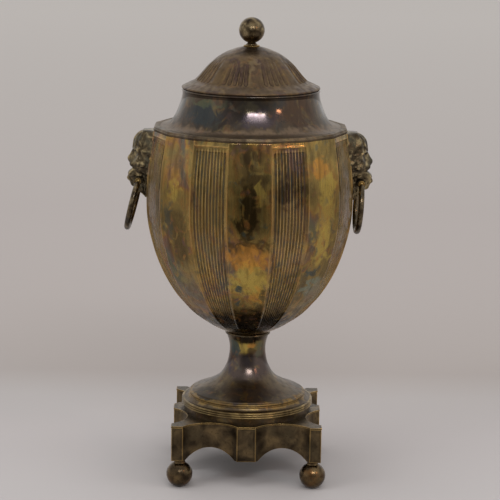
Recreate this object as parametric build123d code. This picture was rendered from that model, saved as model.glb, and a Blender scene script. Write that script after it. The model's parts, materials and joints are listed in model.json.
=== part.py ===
from build123d import *
import os
from math import cos, hypot, radians, sin, tan

# Tea urn. Millimetres, +Z up, the origin on the floor under the urn's axis.
# The plain panel that faces -Y is the front, the tap stands at the back, +Y,
# and the lion masks are on the panels that face -X and +X.

# Fits and gaps
seat_clearance = 0.1
running_clearance = 0.08
body_gap = 0.3
cut_margin = 5.0

# Ball feet
ball_radius = 14.1
ball_flat_depth = 0.35
foot_neck_radius = 6.5
foot_neck_height = 2.15
foot_stud_radius = 2.5
foot_stud_length = 12.0
ball_inset = 2.5

# Plinth
plinth_half_width = 80.5
plinth_height = 38.8
plinth_plate_thickness = 1.6
plinth_plate_overhang = 0.4
corner_post_width = 12.5
corner_post_chamfer = 1.2
pilaster_width = 20.4
pilaster_thickness = 3.0
pilaster_chamfer = 1.2
panel_border = 2.2
panel_recess = 0.7
skirt_thickness = 1.6
skirt_setback = 1.0
skirt_hollow_depth = 15.0
arch_width = 52.5
arch_rise = 11.2

# Pedestal foot: outline points are (radius, height above the plinth)
foot_base_radius = 69.5
foot_band_bottom = 5.8
foot_band_height = 7.0
foot_band_radius = 72.0
foot_cove_radius = 65.0
foot_cove_height = 16.8
foot_bead_ring_radius = 62.2
foot_bead_radius = 1.7
trumpet_start_radius = 60.5
trumpet_start_height = 21.4
pedestal_height = 84.2
pedestal_top_radius = 23.0
pedestal_wall = 1.8
pedestal_head_height = 9.0
trumpet_curve = [
    (53.0, 24.0),
    (45.0, 28.0),
    (35.5, 33.2),
    (30.5, 37.2),
    (27.0, 41.7),
    (24.3, 46.7),
    (22.1, 52.2),
    (20.2, 61.2),
    (19.7, 69.2),
    (20.6, 76.2),
]
spigot_radius = 17.0
spigot_rise = 4.2
spigot_end_gap = 0.3

# Stem collar
collar_height = 3.5
collar_radius = 24.8

# Draw rod, which holds vessel, stem and plinth together
rod_radius = 2.5
rod_engagement = 5.2
rod_washer_radius = 9.0
rod_washer_thickness = 1.6
rod_nut_width = 8.0
rod_nut_height = 5.0
rod_tail = 2.0

# Vessel: sixteen panels, outline points are (apothem, height above its lower end)
panel_count = 16
vessel_height = 222.3
vessel_foot_apothem = 23.8
vessel_mouth_apothem = 103.5
vessel_wall = 1.8
vessel_floor_height = 11.5
vessel_curve = [
    (31.5, 4.1),
    (40.5, 8.7),
    (50.8, 15.5),
    (60.3, 23.5),
    (69.4, 33.5),
    (77.7, 43.5),
    (87.2, 58.5),
    (94.7, 73.5),
    (100.5, 88.5),
    (105.4, 105.5),
    (108.3, 118.5),
    (110.3, 133.5),
    (111.0, 151.5),
    (110.4, 168.5),
    (108.6, 188.5),
    (106.4, 203.5),
    (104.7, 214.5),
]
flutes_per_panel = 10
flute_depth = 0.9
flute_bottom_height = 16.0
flute_top_height = 214.0
flute_border_share = 0.09
flute_land_share = 0.25
flute_floor_share = 0.5
section_step = 14.0

# Shoulder moulding, sixteen-sided
moulding_height = 4.6
moulding_cove_depth = 0.9
moulding_cove_height = 0.8
moulding_lip_bottom = 1.6
moulding_lip_top = 2.6
moulding_lip_overhang = 0.4
moulding_top_apothem = 102.0
moulding_flange_thickness = 3.0
moulding_hole_radius = 90.0
moulding_sleeve_depth = 3.0
moulding_sleeve_wall = 1.2

# Shoulder and neck, round: outline points are (radius, height above the moulding)
neck_flange_radius = 97.4
neck_flange_thickness = 1.2
neck_height = 37.6
neck_top_radius = 73.8
neck_wall = 1.5
neck_curve = [
    (93.5, 0.4),
    (88.3, 2.7),
    (83.9, 7.4),
    (80.9, 12.4),
    (78.6, 17.6),
    (76.4, 23.6),
    (74.7, 29.6),
    (73.9, 34.6),
]
rim_height = 2.6
rim_radius = 74.8
rim_rounding = 0.8

# Lid: outline points are (radius, height above the lid's lower edge)
lid_wall = 1.4
lid_edge = [(72.6, 0.0), (74.0, 0.2), (74.4, 1.0), (74.0, 1.9)]
lid_curve = [
    (67.0, 5.3),
    (61.5, 7.9),
    (58.8, 10.3),
    (55.5, 13.8),
    (50.5, 19.8),
    (45.2, 25.8),
    (38.3, 31.8),
    (31.1, 36.8),
    (19.7, 41.8),
]
lid_height = 45.0
lid_seat_radius = 9.0
bezel_depth = 12.0
bezel_wall = 1.2
bezel_play = 0.5

# Finial
finial_ball_radius = 13.8
finial_ball_height = 17.3
finial_neck_radius = 4.6
finial_foot_radius = 6.0
finial_foot_height = 1.6
finial_collar_radius = 8.5
finial_collar_height = 2.0
finial_stud_radius = 2.0
finial_stud_length = 8.0
finial_nut_width = 7.0
finial_nut_height = 3.2

# Lion masks. Each level of the head is (height, half width, how far out its middle,
# inner third and outer third stand), all from the ring's pivot.
pivot_radius = 120.0
pivot_height = 166.5
jaw_half_width = 8.5
eye_relief = 1.0
mask_edge_out = -5.0
mask_back_out = -21.0
mask_levels = [
    (-19.0, 3.5, -6.5, -6.6, -6.4),
    (-14.0, 7.0, -2.0, -3.0, -5.5),
    (-9.5, 9.5, 4.0, 1.0, -5.3),
    (-4.0, 12.5, 9.6, 5.0, -5.0),
    (0.5, 15.0, 12.6, 7.5, -5.0),
    (4.0, 17.0, 13.3, 9.0, -4.5),
    (8.5, 19.5, 12.2, 9.5, -3.0),
    (13.5, 21.5, 8.2, 7.8, -2.0),
    (17.5, 23.0, 9.5, 7.5, -1.0),
    (20.5, 24.0, 12.0, 6.0, -1.5),
    (24.0, 24.5, 12.7, 4.5, -1.5),
    (28.5, 25.0, 10.0, 3.0, -1.5),
    (33.0, 25.0, 6.6, 3.5, -2.0),
    (40.0, 25.0, 6.8, 5.0, -2.0),
    (46.0, 23.0, 5.8, 3.5, -3.0),
    (50.5, 19.5, 2.2, 0.0, -4.5),
    (53.5, 15.5, -2.5, -3.5, -5.2),
    (54.8, 12.0, -5.5, -5.6, -5.4),
]

# Ring handles and their pins. A pin's front end stands a little further out than its back end.
pin_toe = 2.5
ring_wire_radius = 3.1
ring_radius = 28.0
ring_drop = 25.8
ring_eye_radius = 4.4
ring_eye_thickness = 4.2
pin_radius = 1.6
pin_head_radius = 3.6
pin_head_height = 1.1
ring_left_lean = 13.5
ring_right_lean = -3.5

# Heater tube, iron and cap
tube_inner_radius = 26.0
tube_wall = 1.2
tube_height = 147.0
tube_floor = 1.5
tube_flange_radius = 31.0
iron_clearance = 3.0
iron_height = 118.0
iron_rounding = 3.0
iron_eye_radius = 7.0
iron_eye_wire = 2.0
iron_neck_height = 3.0
cap_wall = 1.2
cap_skirt_depth = 8.0
cap_dome_rise = 3.0
cap_knob_radius = 6.0
cap_knob_stem_radius = 2.2
cap_knob_stem_height = 5.0

# Tap
tap_height = 51.5
tap_flange_radius = 13.0
tap_flange_least = 2.0
tap_seal_radius = 11.0
tap_seal_least = 2.0
tap_shank_radius = 7.0
tap_bore_radius = 4.0
tap_nut_width = 20.0
tap_nut_height = 6.0
tap_shank_tail = 2.0
tap_collar_radius = 10.0
tap_collar_thickness = 2.5
tap_barrel_reach = 24.0
tap_barrel_radius = 10.5
tap_barrel_height = 34.0
plug_top_radius = 7.0
plug_bottom_radius = 6.0
plug_head_radius = 8.5
plug_head_height = 3.0
plug_square = 6.0
plug_square_height = 8.0
plug_stub_radius = 3.0
plug_washer_thickness = 1.2
plug_nut_width = 10.0
plug_nut_height = 4.0
spout_radius = 6.5
spout_run = 14.0
spout_bend_radius = 16.0
spout_drop = 30.0
spout_lip_radius = 7.6
spout_lip_height = 2.5
lever_hub_radius = 6.5
lever_hub_height = 8.0
lever_arm_radius = 3.0
lever_arm_reach = 16.0
lever_tang_radius = 1.5
lever_tang_length = 24.0
grip_outline = [(3.2, 0.0), (5.6, 8.0), (4.4, 16.0), (6.2, 26.0), (5.0, 33.0)]
grip_length = 36.0
lever_screw_radius = 4.6
lever_screw_height = 2.4
lever_screw_shank = 1.6
lever_screw_depth = 6.0

# Heights and places that follow from the sizes above
half_panel = 180.0 / panel_count
ball_centre_height = ball_radius - ball_flat_depth
plinth_bottom = ball_centre_height + ball_radius + foot_neck_height
plinth_top = plinth_bottom + plinth_height
plinth_plate_bottom = plinth_top - plinth_plate_thickness
ball_offset = plinth_half_width - corner_post_width / 2 - ball_inset
pedestal_top = plinth_top + pedestal_height
vessel_bottom = pedestal_top + collar_height
vessel_floor = vessel_bottom + vessel_floor_height
vessel_top = vessel_bottom + vessel_height
spigot_top = vessel_bottom + spigot_rise
recess_top = spigot_top + spigot_end_gap
rod_top = recess_top + rod_engagement
moulding_top = vessel_top + moulding_height
neck_top = moulding_top + neck_height
neck_inner_radius = neck_top_radius - neck_wall
rim_top = neck_top + rim_height
lid_bottom = rim_top + body_gap
lid_top = lid_bottom + lid_height
tube_bottom = vessel_floor
tube_outer_radius = tube_inner_radius + tube_wall
tube_top = tube_bottom + tube_height
tap_axis_height = vessel_bottom + tap_height
pivot_z = vessel_bottom + pivot_height
skirt_hollow_centre = (pilaster_width / 2 + plinth_half_width - corner_post_width) / 2
skirt_hollow_half = (plinth_half_width - corner_post_width - pilaster_width / 2) / 2
skirt_hollow_radius = (skirt_hollow_half**2 + skirt_hollow_depth**2) / (2 * skirt_hollow_depth)
skirt_front = plinth_half_width - skirt_setback
hollow_centre_depth = skirt_front + skirt_hollow_radius - skirt_hollow_depth


def turned(edges):
    """Solid of revolution about the urn's axis, from the edges of a (radius, height) outline."""
    return revolve(Plane.XZ * make_face(edges), axis=Axis.Z)


def turned_polygon(points):
    """Solid of revolution about the urn's axis, from the corners of a (radius, height) outline."""
    return turned(Polyline(*points, close=True))


def ring_solid(inner, outer, bottom, top):
    """Plain ring about the urn's axis."""
    return turned_polygon([(inner, bottom), (outer, bottom), (outer, top), (inner, top)])


def disc(radius, bottom, top):
    """Plain round bar about the urn's axis."""
    return Pos(0, 0, bottom) * Cylinder(radius, top - bottom, align=(Align.CENTER, Align.CENTER, Align.MIN))


def bar_along_y(radius, start, end, height):
    """Round bar parallel to Y through the urn's axis plane, from y = start to y = end."""
    bar = Cylinder(radius, end - start, align=(Align.CENTER, Align.CENTER, Align.MIN))
    return Pos(0, start, height) * Rot(-90, 0, 0) * bar


def hexagon_bar(width, height):
    """Hexagonal bar, width across flats, standing on the XY plane."""
    return extrude(RegularPolygon(width / 2, 6, major_radius=False), amount=height)


def raised(points, base):
    """The points of an outline, lifted from its own foot to the urn's height."""
    return [(radius, base + height) for radius, height in points]


def inset(points, wall):
    """The points of an outline moved inwards by a wall, square to the outline."""
    moved = []
    for index, (radius, height) in enumerate(points):
        before = points[max(index - 1, 0)]
        after = points[min(index + 1, len(points) - 1)]
        run = after[0] - before[0]
        rise = after[1] - before[1]
        length = hypot(run, rise)
        moved.append((radius - wall * rise / length, height + wall * run / length))
    return moved


# Vessel outline, shared by everything that seats on the vessel

vessel_outline = raised(
    [(vessel_foot_apothem, 0.0)] + vessel_curve + [(vessel_mouth_apothem, vessel_height)],
    vessel_bottom,
)
vessel_line = Spline(*vessel_outline)
vessel_inner_line = Spline(*inset(vessel_outline, vessel_wall))


def apothem_at(height, line=vessel_line):
    """Distance of a panel's face from the axis at a height."""
    low = 0.0
    high = 1.0
    for _ in range(40):
        middle = (low + high) / 2
        if (line @ middle).Y < height:
            low = middle
        else:
            high = middle
    return (line @ low).X


def steps(bottom, top):
    """Heights from bottom to top, evenly spaced, about a section step apart."""
    count = max(2, round((top - bottom) / section_step))
    return [bottom + (top - bottom) * index / count for index in range(count + 1)]


def panel_section(apothem, height):
    """The sixteen-sided section of the vessel at a height."""
    section = RegularPolygon(apothem, panel_count, major_radius=False, rotation=half_panel)
    return Plane.XY.offset(height) * section


def panel_prism(apothem, bottom, top):
    """Straight sixteen-sided block."""
    return extrude(panel_section(apothem, bottom), amount=top - bottom)


def panel_loft(line, bottom, top):
    """Sixteen smooth panels along an outline, between two heights."""
    return loft([panel_section(apothem_at(height, line), height) for height in steps(bottom, top)])


def fluted_section(height):
    """The section where every second panel has its flutes."""
    apothem = apothem_at(height)
    width = 2 * apothem * tan(radians(half_panel))
    zone = width * (1 - 2 * flute_border_share)
    pitch = zone / flutes_per_panel
    opening = pitch * (1 - flute_land_share)
    floor = opening * flute_floor_share
    corners = []
    for panel in range(panel_count):
        angle = radians(panel * 2 * half_panel)
        offsets = [(apothem, -width / 2)]
        if panel % 2:
            for flute in range(flutes_per_panel):
                middle = (flute - (flutes_per_panel - 1) / 2) * pitch
                offsets += [
                    (apothem, middle - opening / 2),
                    (apothem - flute_depth, middle - floor / 2),
                    (apothem - flute_depth, middle + floor / 2),
                    (apothem, middle + opening / 2),
                ]
        for out, side in offsets:
            corners.append((out * cos(angle) - side * sin(angle), out * sin(angle) + side * cos(angle)))
    return Plane.XY.offset(height) * make_face(Polyline(*corners, close=True))


def vessel_seat():
    """Plain outer form of the vessel, a fitting clearance proud, to which outer pieces are shaped."""
    line = Spline(*inset(vessel_outline, -seat_clearance))
    sections = [panel_section(apothem_at(height, line), height) for height in steps(vessel_bottom, vessel_top)]
    return loft(sections)


def vessel_inner():
    """The space inside the vessel, open at the top."""
    top = vessel_top + cut_margin
    mouth = panel_section(apothem_at(vessel_top, vessel_inner_line), top)
    heights = steps(vessel_floor, vessel_top)
    sections = [panel_section(apothem_at(height, vessel_inner_line), height) for height in heights]
    return loft(sections) + extrude(mouth, amount=-cut_margin)


# Ball feet and plinth


def ball_foot(x, y):
    """Turned ball with a flat to stand on, a short neck and a stud for the corner post."""
    ball = Pos(0, 0, ball_centre_height) * Sphere(ball_radius)
    ball -= disc(ball_radius, -ball_flat_depth - cut_margin, 0)
    neck = disc(foot_neck_radius, ball_centre_height + ball_radius / 2, plinth_bottom)
    stud = disc(foot_stud_radius, plinth_bottom, plinth_bottom + foot_stud_length)
    return Pos(x, y, 0) * (ball + neck + stud)


def sunk_panel(width, bottom, top, face_y):
    """Shallow panel cut in a face that looks along -Y."""
    height = top - bottom - 2 * panel_border
    block = Box(width - 2 * panel_border, 2 * panel_recess, height)
    return Pos(0, face_y, (bottom + top) / 2) * block


def corner_post(turn):
    """Square corner post with a sunk panel in both outer faces and a hole for the foot's stud."""
    middle = plinth_half_width - corner_post_width / 2
    block = Box(corner_post_width, corner_post_width, plinth_plate_bottom - plinth_bottom)
    post = Pos(0, 0, (plinth_bottom + plinth_plate_bottom) / 2) * block
    lower = post.edges().group_by(Axis.Z)[0]
    outer = lower.sort_by(Axis.X)[-1:] + lower.sort_by(Axis.Y)[:1]
    post = chamfer(outer, corner_post_chamfer)
    front = sunk_panel(corner_post_width, plinth_bottom, plinth_plate_bottom, -corner_post_width / 2)
    post = post - front - Rot(0, 0, 90) * front
    post = Pos(middle, -middle, 0) * post
    hole = disc(foot_stud_radius + seat_clearance, plinth_bottom - 1, plinth_bottom + foot_stud_length + 1)
    post -= Pos(ball_offset, -ball_offset, 0) * hole
    return Rot(0, 0, turn) * post


def mid_pilaster(turn):
    """Flat pilaster in the middle of a side, with a sunk panel."""
    block = Box(pilaster_width, pilaster_thickness, plinth_plate_bottom - plinth_bottom)
    middle_y = -plinth_half_width + pilaster_thickness / 2
    pilaster = Pos(0, middle_y, (plinth_bottom + plinth_plate_bottom) / 2) * block
    lower = pilaster.edges().group_by(Axis.Z)[0].sort_by(Axis.Y)[:1]
    pilaster = chamfer(lower, pilaster_chamfer)
    pilaster -= sunk_panel(pilaster_width, plinth_bottom, plinth_plate_bottom, -plinth_half_width)
    return Rot(0, 0, turn) * pilaster


def plinth_skirt(turn):
    """One side's strip: two hollow walls with arched lower edges, joined behind the pilaster."""
    height = plinth_plate_bottom - plinth_bottom
    pilaster_half = pilaster_width / 2
    post_side = plinth_half_width - corner_post_width
    link_y = -plinth_half_width + pilaster_thickness + skirt_thickness / 2
    strip = Pos(0, link_y, 0) * Rectangle(pilaster_width + skirt_thickness, skirt_thickness)
    for side in (-1, 1):
        middle = Pos(side * skirt_hollow_centre, -hollow_centre_depth)
        wall = middle * Circle(skirt_hollow_radius + skirt_thickness)
        wall -= middle * Circle(skirt_hollow_radius)
        span = Pos(side * (pilaster_half + post_side) / 2, 0) * Rectangle(
            post_side - pilaster_half, 2 * skirt_front
        )
        strip += wall & span & Pos(0, -skirt_front) * Rectangle(2 * skirt_front, skirt_front)
    skirt = extrude(Plane.XY.offset(plinth_bottom) * strip, amount=height)
    arch_radius = ((arch_width / 2) ** 2 + arch_rise**2) / (2 * arch_rise)
    for side in (-1, 1):
        arch = bar_along_y(arch_radius, -plinth_half_width, 0, plinth_bottom + arch_rise - arch_radius)
        skirt -= Pos(side * skirt_hollow_centre, 0, 0) * arch
    return Rot(0, 0, turn) * skirt


def plinth_plate():
    """Flat top of the plinth, with the same hollow outline as the walls below it."""
    half = plinth_half_width + plinth_plate_overhang
    outline = Rectangle(2 * half, 2 * half)
    for turn in range(0, 360, 90):
        for side in (-1, 1):
            hollow = Circle(skirt_hollow_radius - plinth_plate_overhang)
            outline -= Rot(0, 0, turn) * Pos(side * skirt_hollow_centre, -hollow_centre_depth) * hollow
    plate = extrude(Plane.XY.offset(plinth_plate_bottom) * outline, amount=plinth_plate_thickness)
    return plate - disc(rod_radius + seat_clearance, plinth_plate_bottom - 1, plinth_top + 1)


# Pedestal foot, collar and draw rod


def pedestal_foot():
    """Hollow trumpet on a stepped round base, with a spigot for the vessel."""
    base = plinth_top
    outer_points = raised(
        [(trumpet_start_radius, trumpet_start_height)]
        + trumpet_curve
        + [(pedestal_top_radius, pedestal_height)],
        base,
    )
    lower_points = [
        (foot_base_radius, base),
        (foot_base_radius, base + foot_band_bottom + foot_band_height),
        (foot_cove_radius, base + foot_cove_height),
        (foot_bead_ring_radius, base + foot_cove_height),
        outer_points[0],
    ]
    head_bottom = pedestal_top - pedestal_head_height
    inner_points = [point for point in inset(outer_points, pedestal_wall) if point[1] < head_bottom]
    inner_lower = [
        inner_points[0],
        (foot_cove_radius - 2 * pedestal_wall, base + foot_cove_height - pedestal_wall),
        (foot_base_radius - pedestal_wall, base + foot_band_bottom + foot_band_height - pedestal_wall),
        (foot_base_radius - pedestal_wall, base),
    ]
    shell = turned(
        Polyline(*lower_points)
        + Spline(*outer_points)
        + Polyline(
            outer_points[-1],
            (spigot_radius, pedestal_top),
            (spigot_radius, spigot_top),
            (rod_radius + seat_clearance, spigot_top),
            (rod_radius + seat_clearance, head_bottom),
            (inner_points[-1][0], head_bottom),
            inner_points[-1],
        )
        + Spline(*reversed(inner_points))
        + Polyline(*inner_lower, lower_points[0])
    )
    bead = Pos(0, 0, base + foot_cove_height + foot_bead_radius) * Torus(foot_bead_ring_radius, foot_bead_radius)
    return shell + bead


def foot_band():
    """Reeded band round the pedestal's rim: three half-round reeds."""
    bottom = plinth_top + foot_band_bottom
    reed_radius = foot_band_height / 6
    seat = foot_band_radius - reed_radius
    band = ring_solid(foot_base_radius, seat, bottom, bottom + foot_band_height)
    for reed in range(3):
        band += Pos(0, 0, bottom + (2 * reed + 1) * reed_radius) * Torus(seat, reed_radius * 0.98)
    return band - disc(foot_base_radius, bottom - 1, bottom + foot_band_height + 1)


def stem_collar():
    """Thin turned collar between the stem and the vessel."""
    collar = ring_solid(spigot_radius + seat_clearance, collar_radius, pedestal_top, vessel_bottom)
    return fillet(collar.edges().filter_by(GeomType.CIRCLE).group_by(SortBy.RADIUS)[-1], collar_height * 0.4)


def draw_rod():
    """Threaded rod from the vessel's boss down through stem and plinth."""
    bottom = plinth_plate_bottom - rod_washer_thickness - rod_nut_height - rod_tail
    return disc(rod_radius, bottom, rod_top)


def draw_washer():
    """Washer under the plinth's top."""
    top = plinth_plate_bottom
    return ring_solid(rod_radius + seat_clearance, rod_washer_radius, top - rod_washer_thickness, top)


def draw_nut():
    """Nut on the draw rod, under its washer."""
    bottom = plinth_plate_bottom - rod_washer_thickness - rod_nut_height
    nut = Pos(0, 0, bottom) * hexagon_bar(rod_nut_width, rod_nut_height)
    return nut - disc(rod_radius + seat_clearance, bottom - 1, plinth_plate_bottom)


# Vessel, shoulder, neck


def vessel_body(inner):
    """Sixteen-sided vessel with eight fluted panels, a thick floor boss and the tap's hole."""
    flute_bottom = vessel_bottom + flute_bottom_height
    flute_top = vessel_bottom + flute_top_height
    body = loft([fluted_section(height) for height in steps(flute_bottom, flute_top)])
    body += panel_loft(vessel_line, vessel_bottom, flute_bottom)
    body += panel_loft(vessel_line, flute_top, vessel_top)
    body -= inner
    body -= disc(spigot_radius + seat_clearance, vessel_bottom - 1, recess_top)
    body -= disc(rod_radius + seat_clearance, recess_top - 1, rod_top + spigot_end_gap)
    reach = apothem_at(tap_axis_height)
    return body - bar_along_y(tap_shank_radius + seat_clearance, reach / 2, reach * 2, tap_axis_height)


def shoulder_moulding():
    """Sixteen-sided moulding: cove, lip and bevelled face, with a rebate for the shoulder."""
    lip = vessel_mouth_apothem + moulding_lip_overhang
    levels = [
        (vessel_mouth_apothem, 0.0),
        (vessel_mouth_apothem - moulding_cove_depth, moulding_cove_height),
        (lip, moulding_lip_bottom),
        (lip, moulding_lip_top),
        (moulding_top_apothem, moulding_height),
    ]
    block = loft([panel_section(apothem, vessel_top + height) for apothem, height in levels], ruled=True)
    sleeve_apothem = apothem_at(vessel_top, vessel_inner_line) - seat_clearance
    sleeve_bottom = vessel_top - moulding_sleeve_depth
    block += panel_prism(sleeve_apothem, sleeve_bottom, vessel_top + moulding_cove_height)
    hollow_top = moulding_top - moulding_flange_thickness
    block -= panel_prism(sleeve_apothem - moulding_sleeve_wall, sleeve_bottom - 1, hollow_top)
    block -= disc(moulding_hole_radius, hollow_top - 1, moulding_top + 1)
    rebate = neck_flange_radius + seat_clearance
    return block - disc(rebate, moulding_top - neck_flange_thickness, moulding_top + 1)


def shoulder_neck():
    """Round shoulder that sweeps up into the neck, with a flange in the moulding's rebate."""
    flange_bottom = moulding_top - neck_flange_thickness
    outer = raised(neck_curve + [(neck_top_radius, neck_height)], moulding_top)
    inner = [point for point in inset(outer, neck_wall) if point[1] > flange_bottom + 0.2]
    inner[-1] = (neck_inner_radius, neck_top)
    return turned(
        Polyline(
            (inner[0][0], flange_bottom),
            (neck_flange_radius, flange_bottom),
            (neck_flange_radius, moulding_top),
            outer[0],
        )
        + Spline(*outer)
        + Line(outer[-1], inner[-1])
        + Spline(*reversed(inner))
        + Line(inner[0], (inner[0][0], flange_bottom))
    )


def neck_rim():
    """Wire rim round the mouth."""
    rim = ring_solid(neck_inner_radius, rim_radius, neck_top, rim_top)
    return fillet(rim.edges().group_by(Axis.Z)[-1], rim_rounding)


# Lid and finial

lid_outer_points = raised([lid_edge[-1]] + lid_curve + [(lid_seat_radius, lid_height)], lid_bottom)
lid_inner_points = inset(lid_outer_points, lid_wall)
lid_inner_points[-1] = (lid_seat_radius, lid_top - lid_wall)


def lid():
    """Domed lid with a sloping flange, a wired edge and a hole for the finial's stud."""
    edge = raised(lid_edge, lid_bottom)
    shell = turned(
        Polyline(*edge)
        + Spline(*lid_outer_points)
        + Polyline(lid_outer_points[-1], (0.0, lid_top), (0.0, lid_top - lid_wall), lid_inner_points[-1])
        + Spline(*reversed(lid_inner_points))
        + Line(lid_inner_points[0], edge[0])
    )
    return shell - disc(finial_stud_radius + seat_clearance, lid_top - cut_margin, lid_top + 1)


def lid_bezel():
    """Sleeve under the lid that centres it in the neck."""
    outer = neck_inner_radius - bezel_play
    sleeve = ring_solid(outer - bezel_wall, outer, lid_bottom - bezel_depth, lid_bottom + 2 * cut_margin)
    above = turned(
        Spline(*lid_inner_points)
        + Polyline(
            lid_inner_points[-1],
            (lid_seat_radius, lid_top + cut_margin),
            (lid_inner_points[0][0], lid_top + cut_margin),
            lid_inner_points[0],
        )
    )
    return sleeve - above


def finial_collar():
    """Low collar that carries the finial on the lid."""
    collar = Pos(0, 0, lid_top) * Cone(
        finial_collar_radius,
        finial_foot_radius,
        finial_collar_height,
        align=(Align.CENTER, Align.CENTER, Align.MIN),
    )
    return collar - disc(finial_stud_radius + seat_clearance, lid_top - 1, lid_top + finial_collar_height + 1)


def finial():
    """Ball finial with a waisted neck and a stud."""
    bottom = lid_top + finial_collar_height
    ball = Pos(0, 0, bottom + finial_ball_height - finial_collar_height) * Sphere(finial_ball_radius)
    foot = Pos(0, 0, bottom) * Cone(
        finial_foot_radius,
        finial_neck_radius,
        finial_foot_height,
        align=(Align.CENTER, Align.CENTER, Align.MIN),
    )
    neck = disc(finial_neck_radius, bottom, bottom + finial_ball_height - finial_ball_radius / 2)
    stud = disc(finial_stud_radius, lid_top - lid_wall - finial_stud_length, bottom)
    return ball + foot + neck + stud


def finial_nut():
    """Nut that holds the finial from inside the lid."""
    top = lid_top - lid_wall - body_gap
    nut = Pos(0, 0, top - finial_nut_height) * hexagon_bar(finial_nut_width, finial_nut_height)
    return nut - disc(finial_stud_radius + seat_clearance, top - cut_margin, top + 1)


# Lion masks and ring handles


def mask_section(up, half_width, centre, inner, outer):
    """Level section of the lion's head, on the +X side, as a face on the mask's own axes."""
    third = half_width / 3
    left = [(mask_edge_out, -half_width), (outer, -2 * third), (inner, -third)]
    right = [(out, -side) for out, side in reversed(left)]
    front = Spline(*left, (centre, 0.0), *right)
    back = Polyline(right[-1], (mask_back_out, half_width), (mask_back_out, -half_width), left[0])
    return Plane.XY.offset(up) * make_face(front + back)


def mask(seat_form, toe):
    """Cast lion mask on the +X panel, shaped to the vessel behind it, with a cross hole for the pin."""
    head = loft([mask_section(*level) for level in mask_levels], ruled=True)
    relief = ring_eye_radius + eye_relief
    slot = Cylinder(relief, 4 * ring_eye_thickness, rotation=(90, 0, 0))
    for way in (-1, 1):
        head -= Rot(0, 0, toe) * Pos(0, way * (jaw_half_width + 2 * ring_eye_thickness), 0) * slot
    head -= Rot(0, 0, toe) * Cylinder(pin_radius + seat_clearance / 2, 4 * jaw_half_width, rotation=(90, 0, 0))
    head = Pos(pivot_radius, 0, pivot_z) * head
    keep_out = panel_prism(vessel_mouth_apothem, vessel_top - 1, moulding_top + cut_margin)
    return head - seat_form - keep_out


def ring_pin(toe):
    """Pin through the lion's jaw, with a head at each end, on the +X side."""
    half = jaw_half_width + ring_eye_thickness + 2 * body_gap
    pin = Cylinder(pin_radius, 2 * half, rotation=(90, 0, 0))
    for way in (-1, 1):
        head = Cylinder(pin_head_radius, pin_head_height, rotation=(90, 0, 0))
        pin += Pos(0, way * (half + pin_head_height / 2), 0) * head
    return Pos(pivot_radius, 0, pivot_z) * Rot(0, 0, toe) * pin


def drop_ring(lean, toe):
    """Drop ring, open at the top where its two eyes turn on the pin, on the +X side."""
    eye_middle = jaw_half_width + body_gap + ring_eye_thickness / 2
    rise = (ring_radius**2 - eye_middle**2) ** 0.5
    start = (0.0, -eye_middle, -ring_drop + rise)
    end = (0.0, eye_middle, -ring_drop + rise)
    low = (0.0, 0.0, -ring_drop - ring_radius)
    path = ThreePointArc(start, low, end)
    profile = Plane(origin=path @ 0, z_dir=path % 0) * Circle(ring_wire_radius)
    ring = sweep(profile, path=path)
    for way in (-1, 1):
        eye = Cylinder(ring_eye_radius, ring_eye_thickness, rotation=(90, 0, 0))
        ring += Pos(0, way * eye_middle, 0) * eye
    ring -= Cylinder(pin_radius + running_clearance, 4 * jaw_half_width, rotation=(90, 0, 0))
    jaw_room = Cylinder(ring_eye_radius + eye_relief, jaw_half_width, rotation=(90, 0, 0))
    head_room = Cylinder(pin_head_radius + body_gap, ring_eye_thickness, rotation=(90, 0, 0))
    for way in (-1, 1):
        ring -= Pos(0, way * (jaw_half_width / 2 + body_gap), 0) * jaw_room
        ring -= Pos(0, way * (eye_middle + ring_eye_thickness), 0) * head_room
    return Pos(pivot_radius, 0, pivot_z) * Rot(0, 0, toe) * Rot(0, -lean, 0) * ring


def to_left(solid):
    """The same piece on the -X side."""
    return Rot(0, 0, 180) * solid


# Heater: tube, iron, cap


def heater_tube():
    """Dry tube that stands in the vessel, closed at the bottom, with a soldering flange."""
    tube = disc(tube_outer_radius, tube_bottom, tube_top)
    tube += disc(tube_flange_radius, tube_bottom, tube_bottom + tube_floor)
    return tube - disc(tube_inner_radius, tube_bottom + tube_floor, tube_top + 1)


def heater_iron():
    """Round iron that is heated in the fire and dropped in the tube, with a lifting eye."""
    radius = tube_inner_radius - iron_clearance
    bottom = tube_bottom + tube_floor + body_gap
    top = bottom + iron_height
    bar = disc(radius, bottom, top)
    bar = fillet(bar.edges().filter_by(GeomType.CIRCLE), iron_rounding)
    eye_middle = top + iron_neck_height + iron_eye_radius
    bar += disc(2 * iron_eye_wire, top - 1, eye_middle - iron_eye_radius + iron_eye_wire / 2)
    return bar + Pos(0, 0, eye_middle) * Torus(iron_eye_radius, iron_eye_wire, rotation=(90, 0, 0))


def tube_cap():
    """Loose cap on the heater tube, with a skirt and a low dome."""
    inner = tube_outer_radius + body_gap
    outer = inner + cap_wall
    bottom = tube_top + body_gap - cap_skirt_depth
    shoulder = tube_top + body_gap + cap_wall
    hole = cap_knob_stem_radius + seat_clearance
    return turned_polygon(
        [
            (inner, bottom),
            (outer, bottom),
            (outer, shoulder),
            (cap_knob_radius, shoulder + cap_dome_rise),
            (hole, shoulder + cap_dome_rise),
            (hole, shoulder + cap_dome_rise - cap_wall),
            (cap_knob_radius, shoulder + cap_dome_rise - cap_wall),
            (inner, shoulder - cap_wall),
        ]
    )


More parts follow.
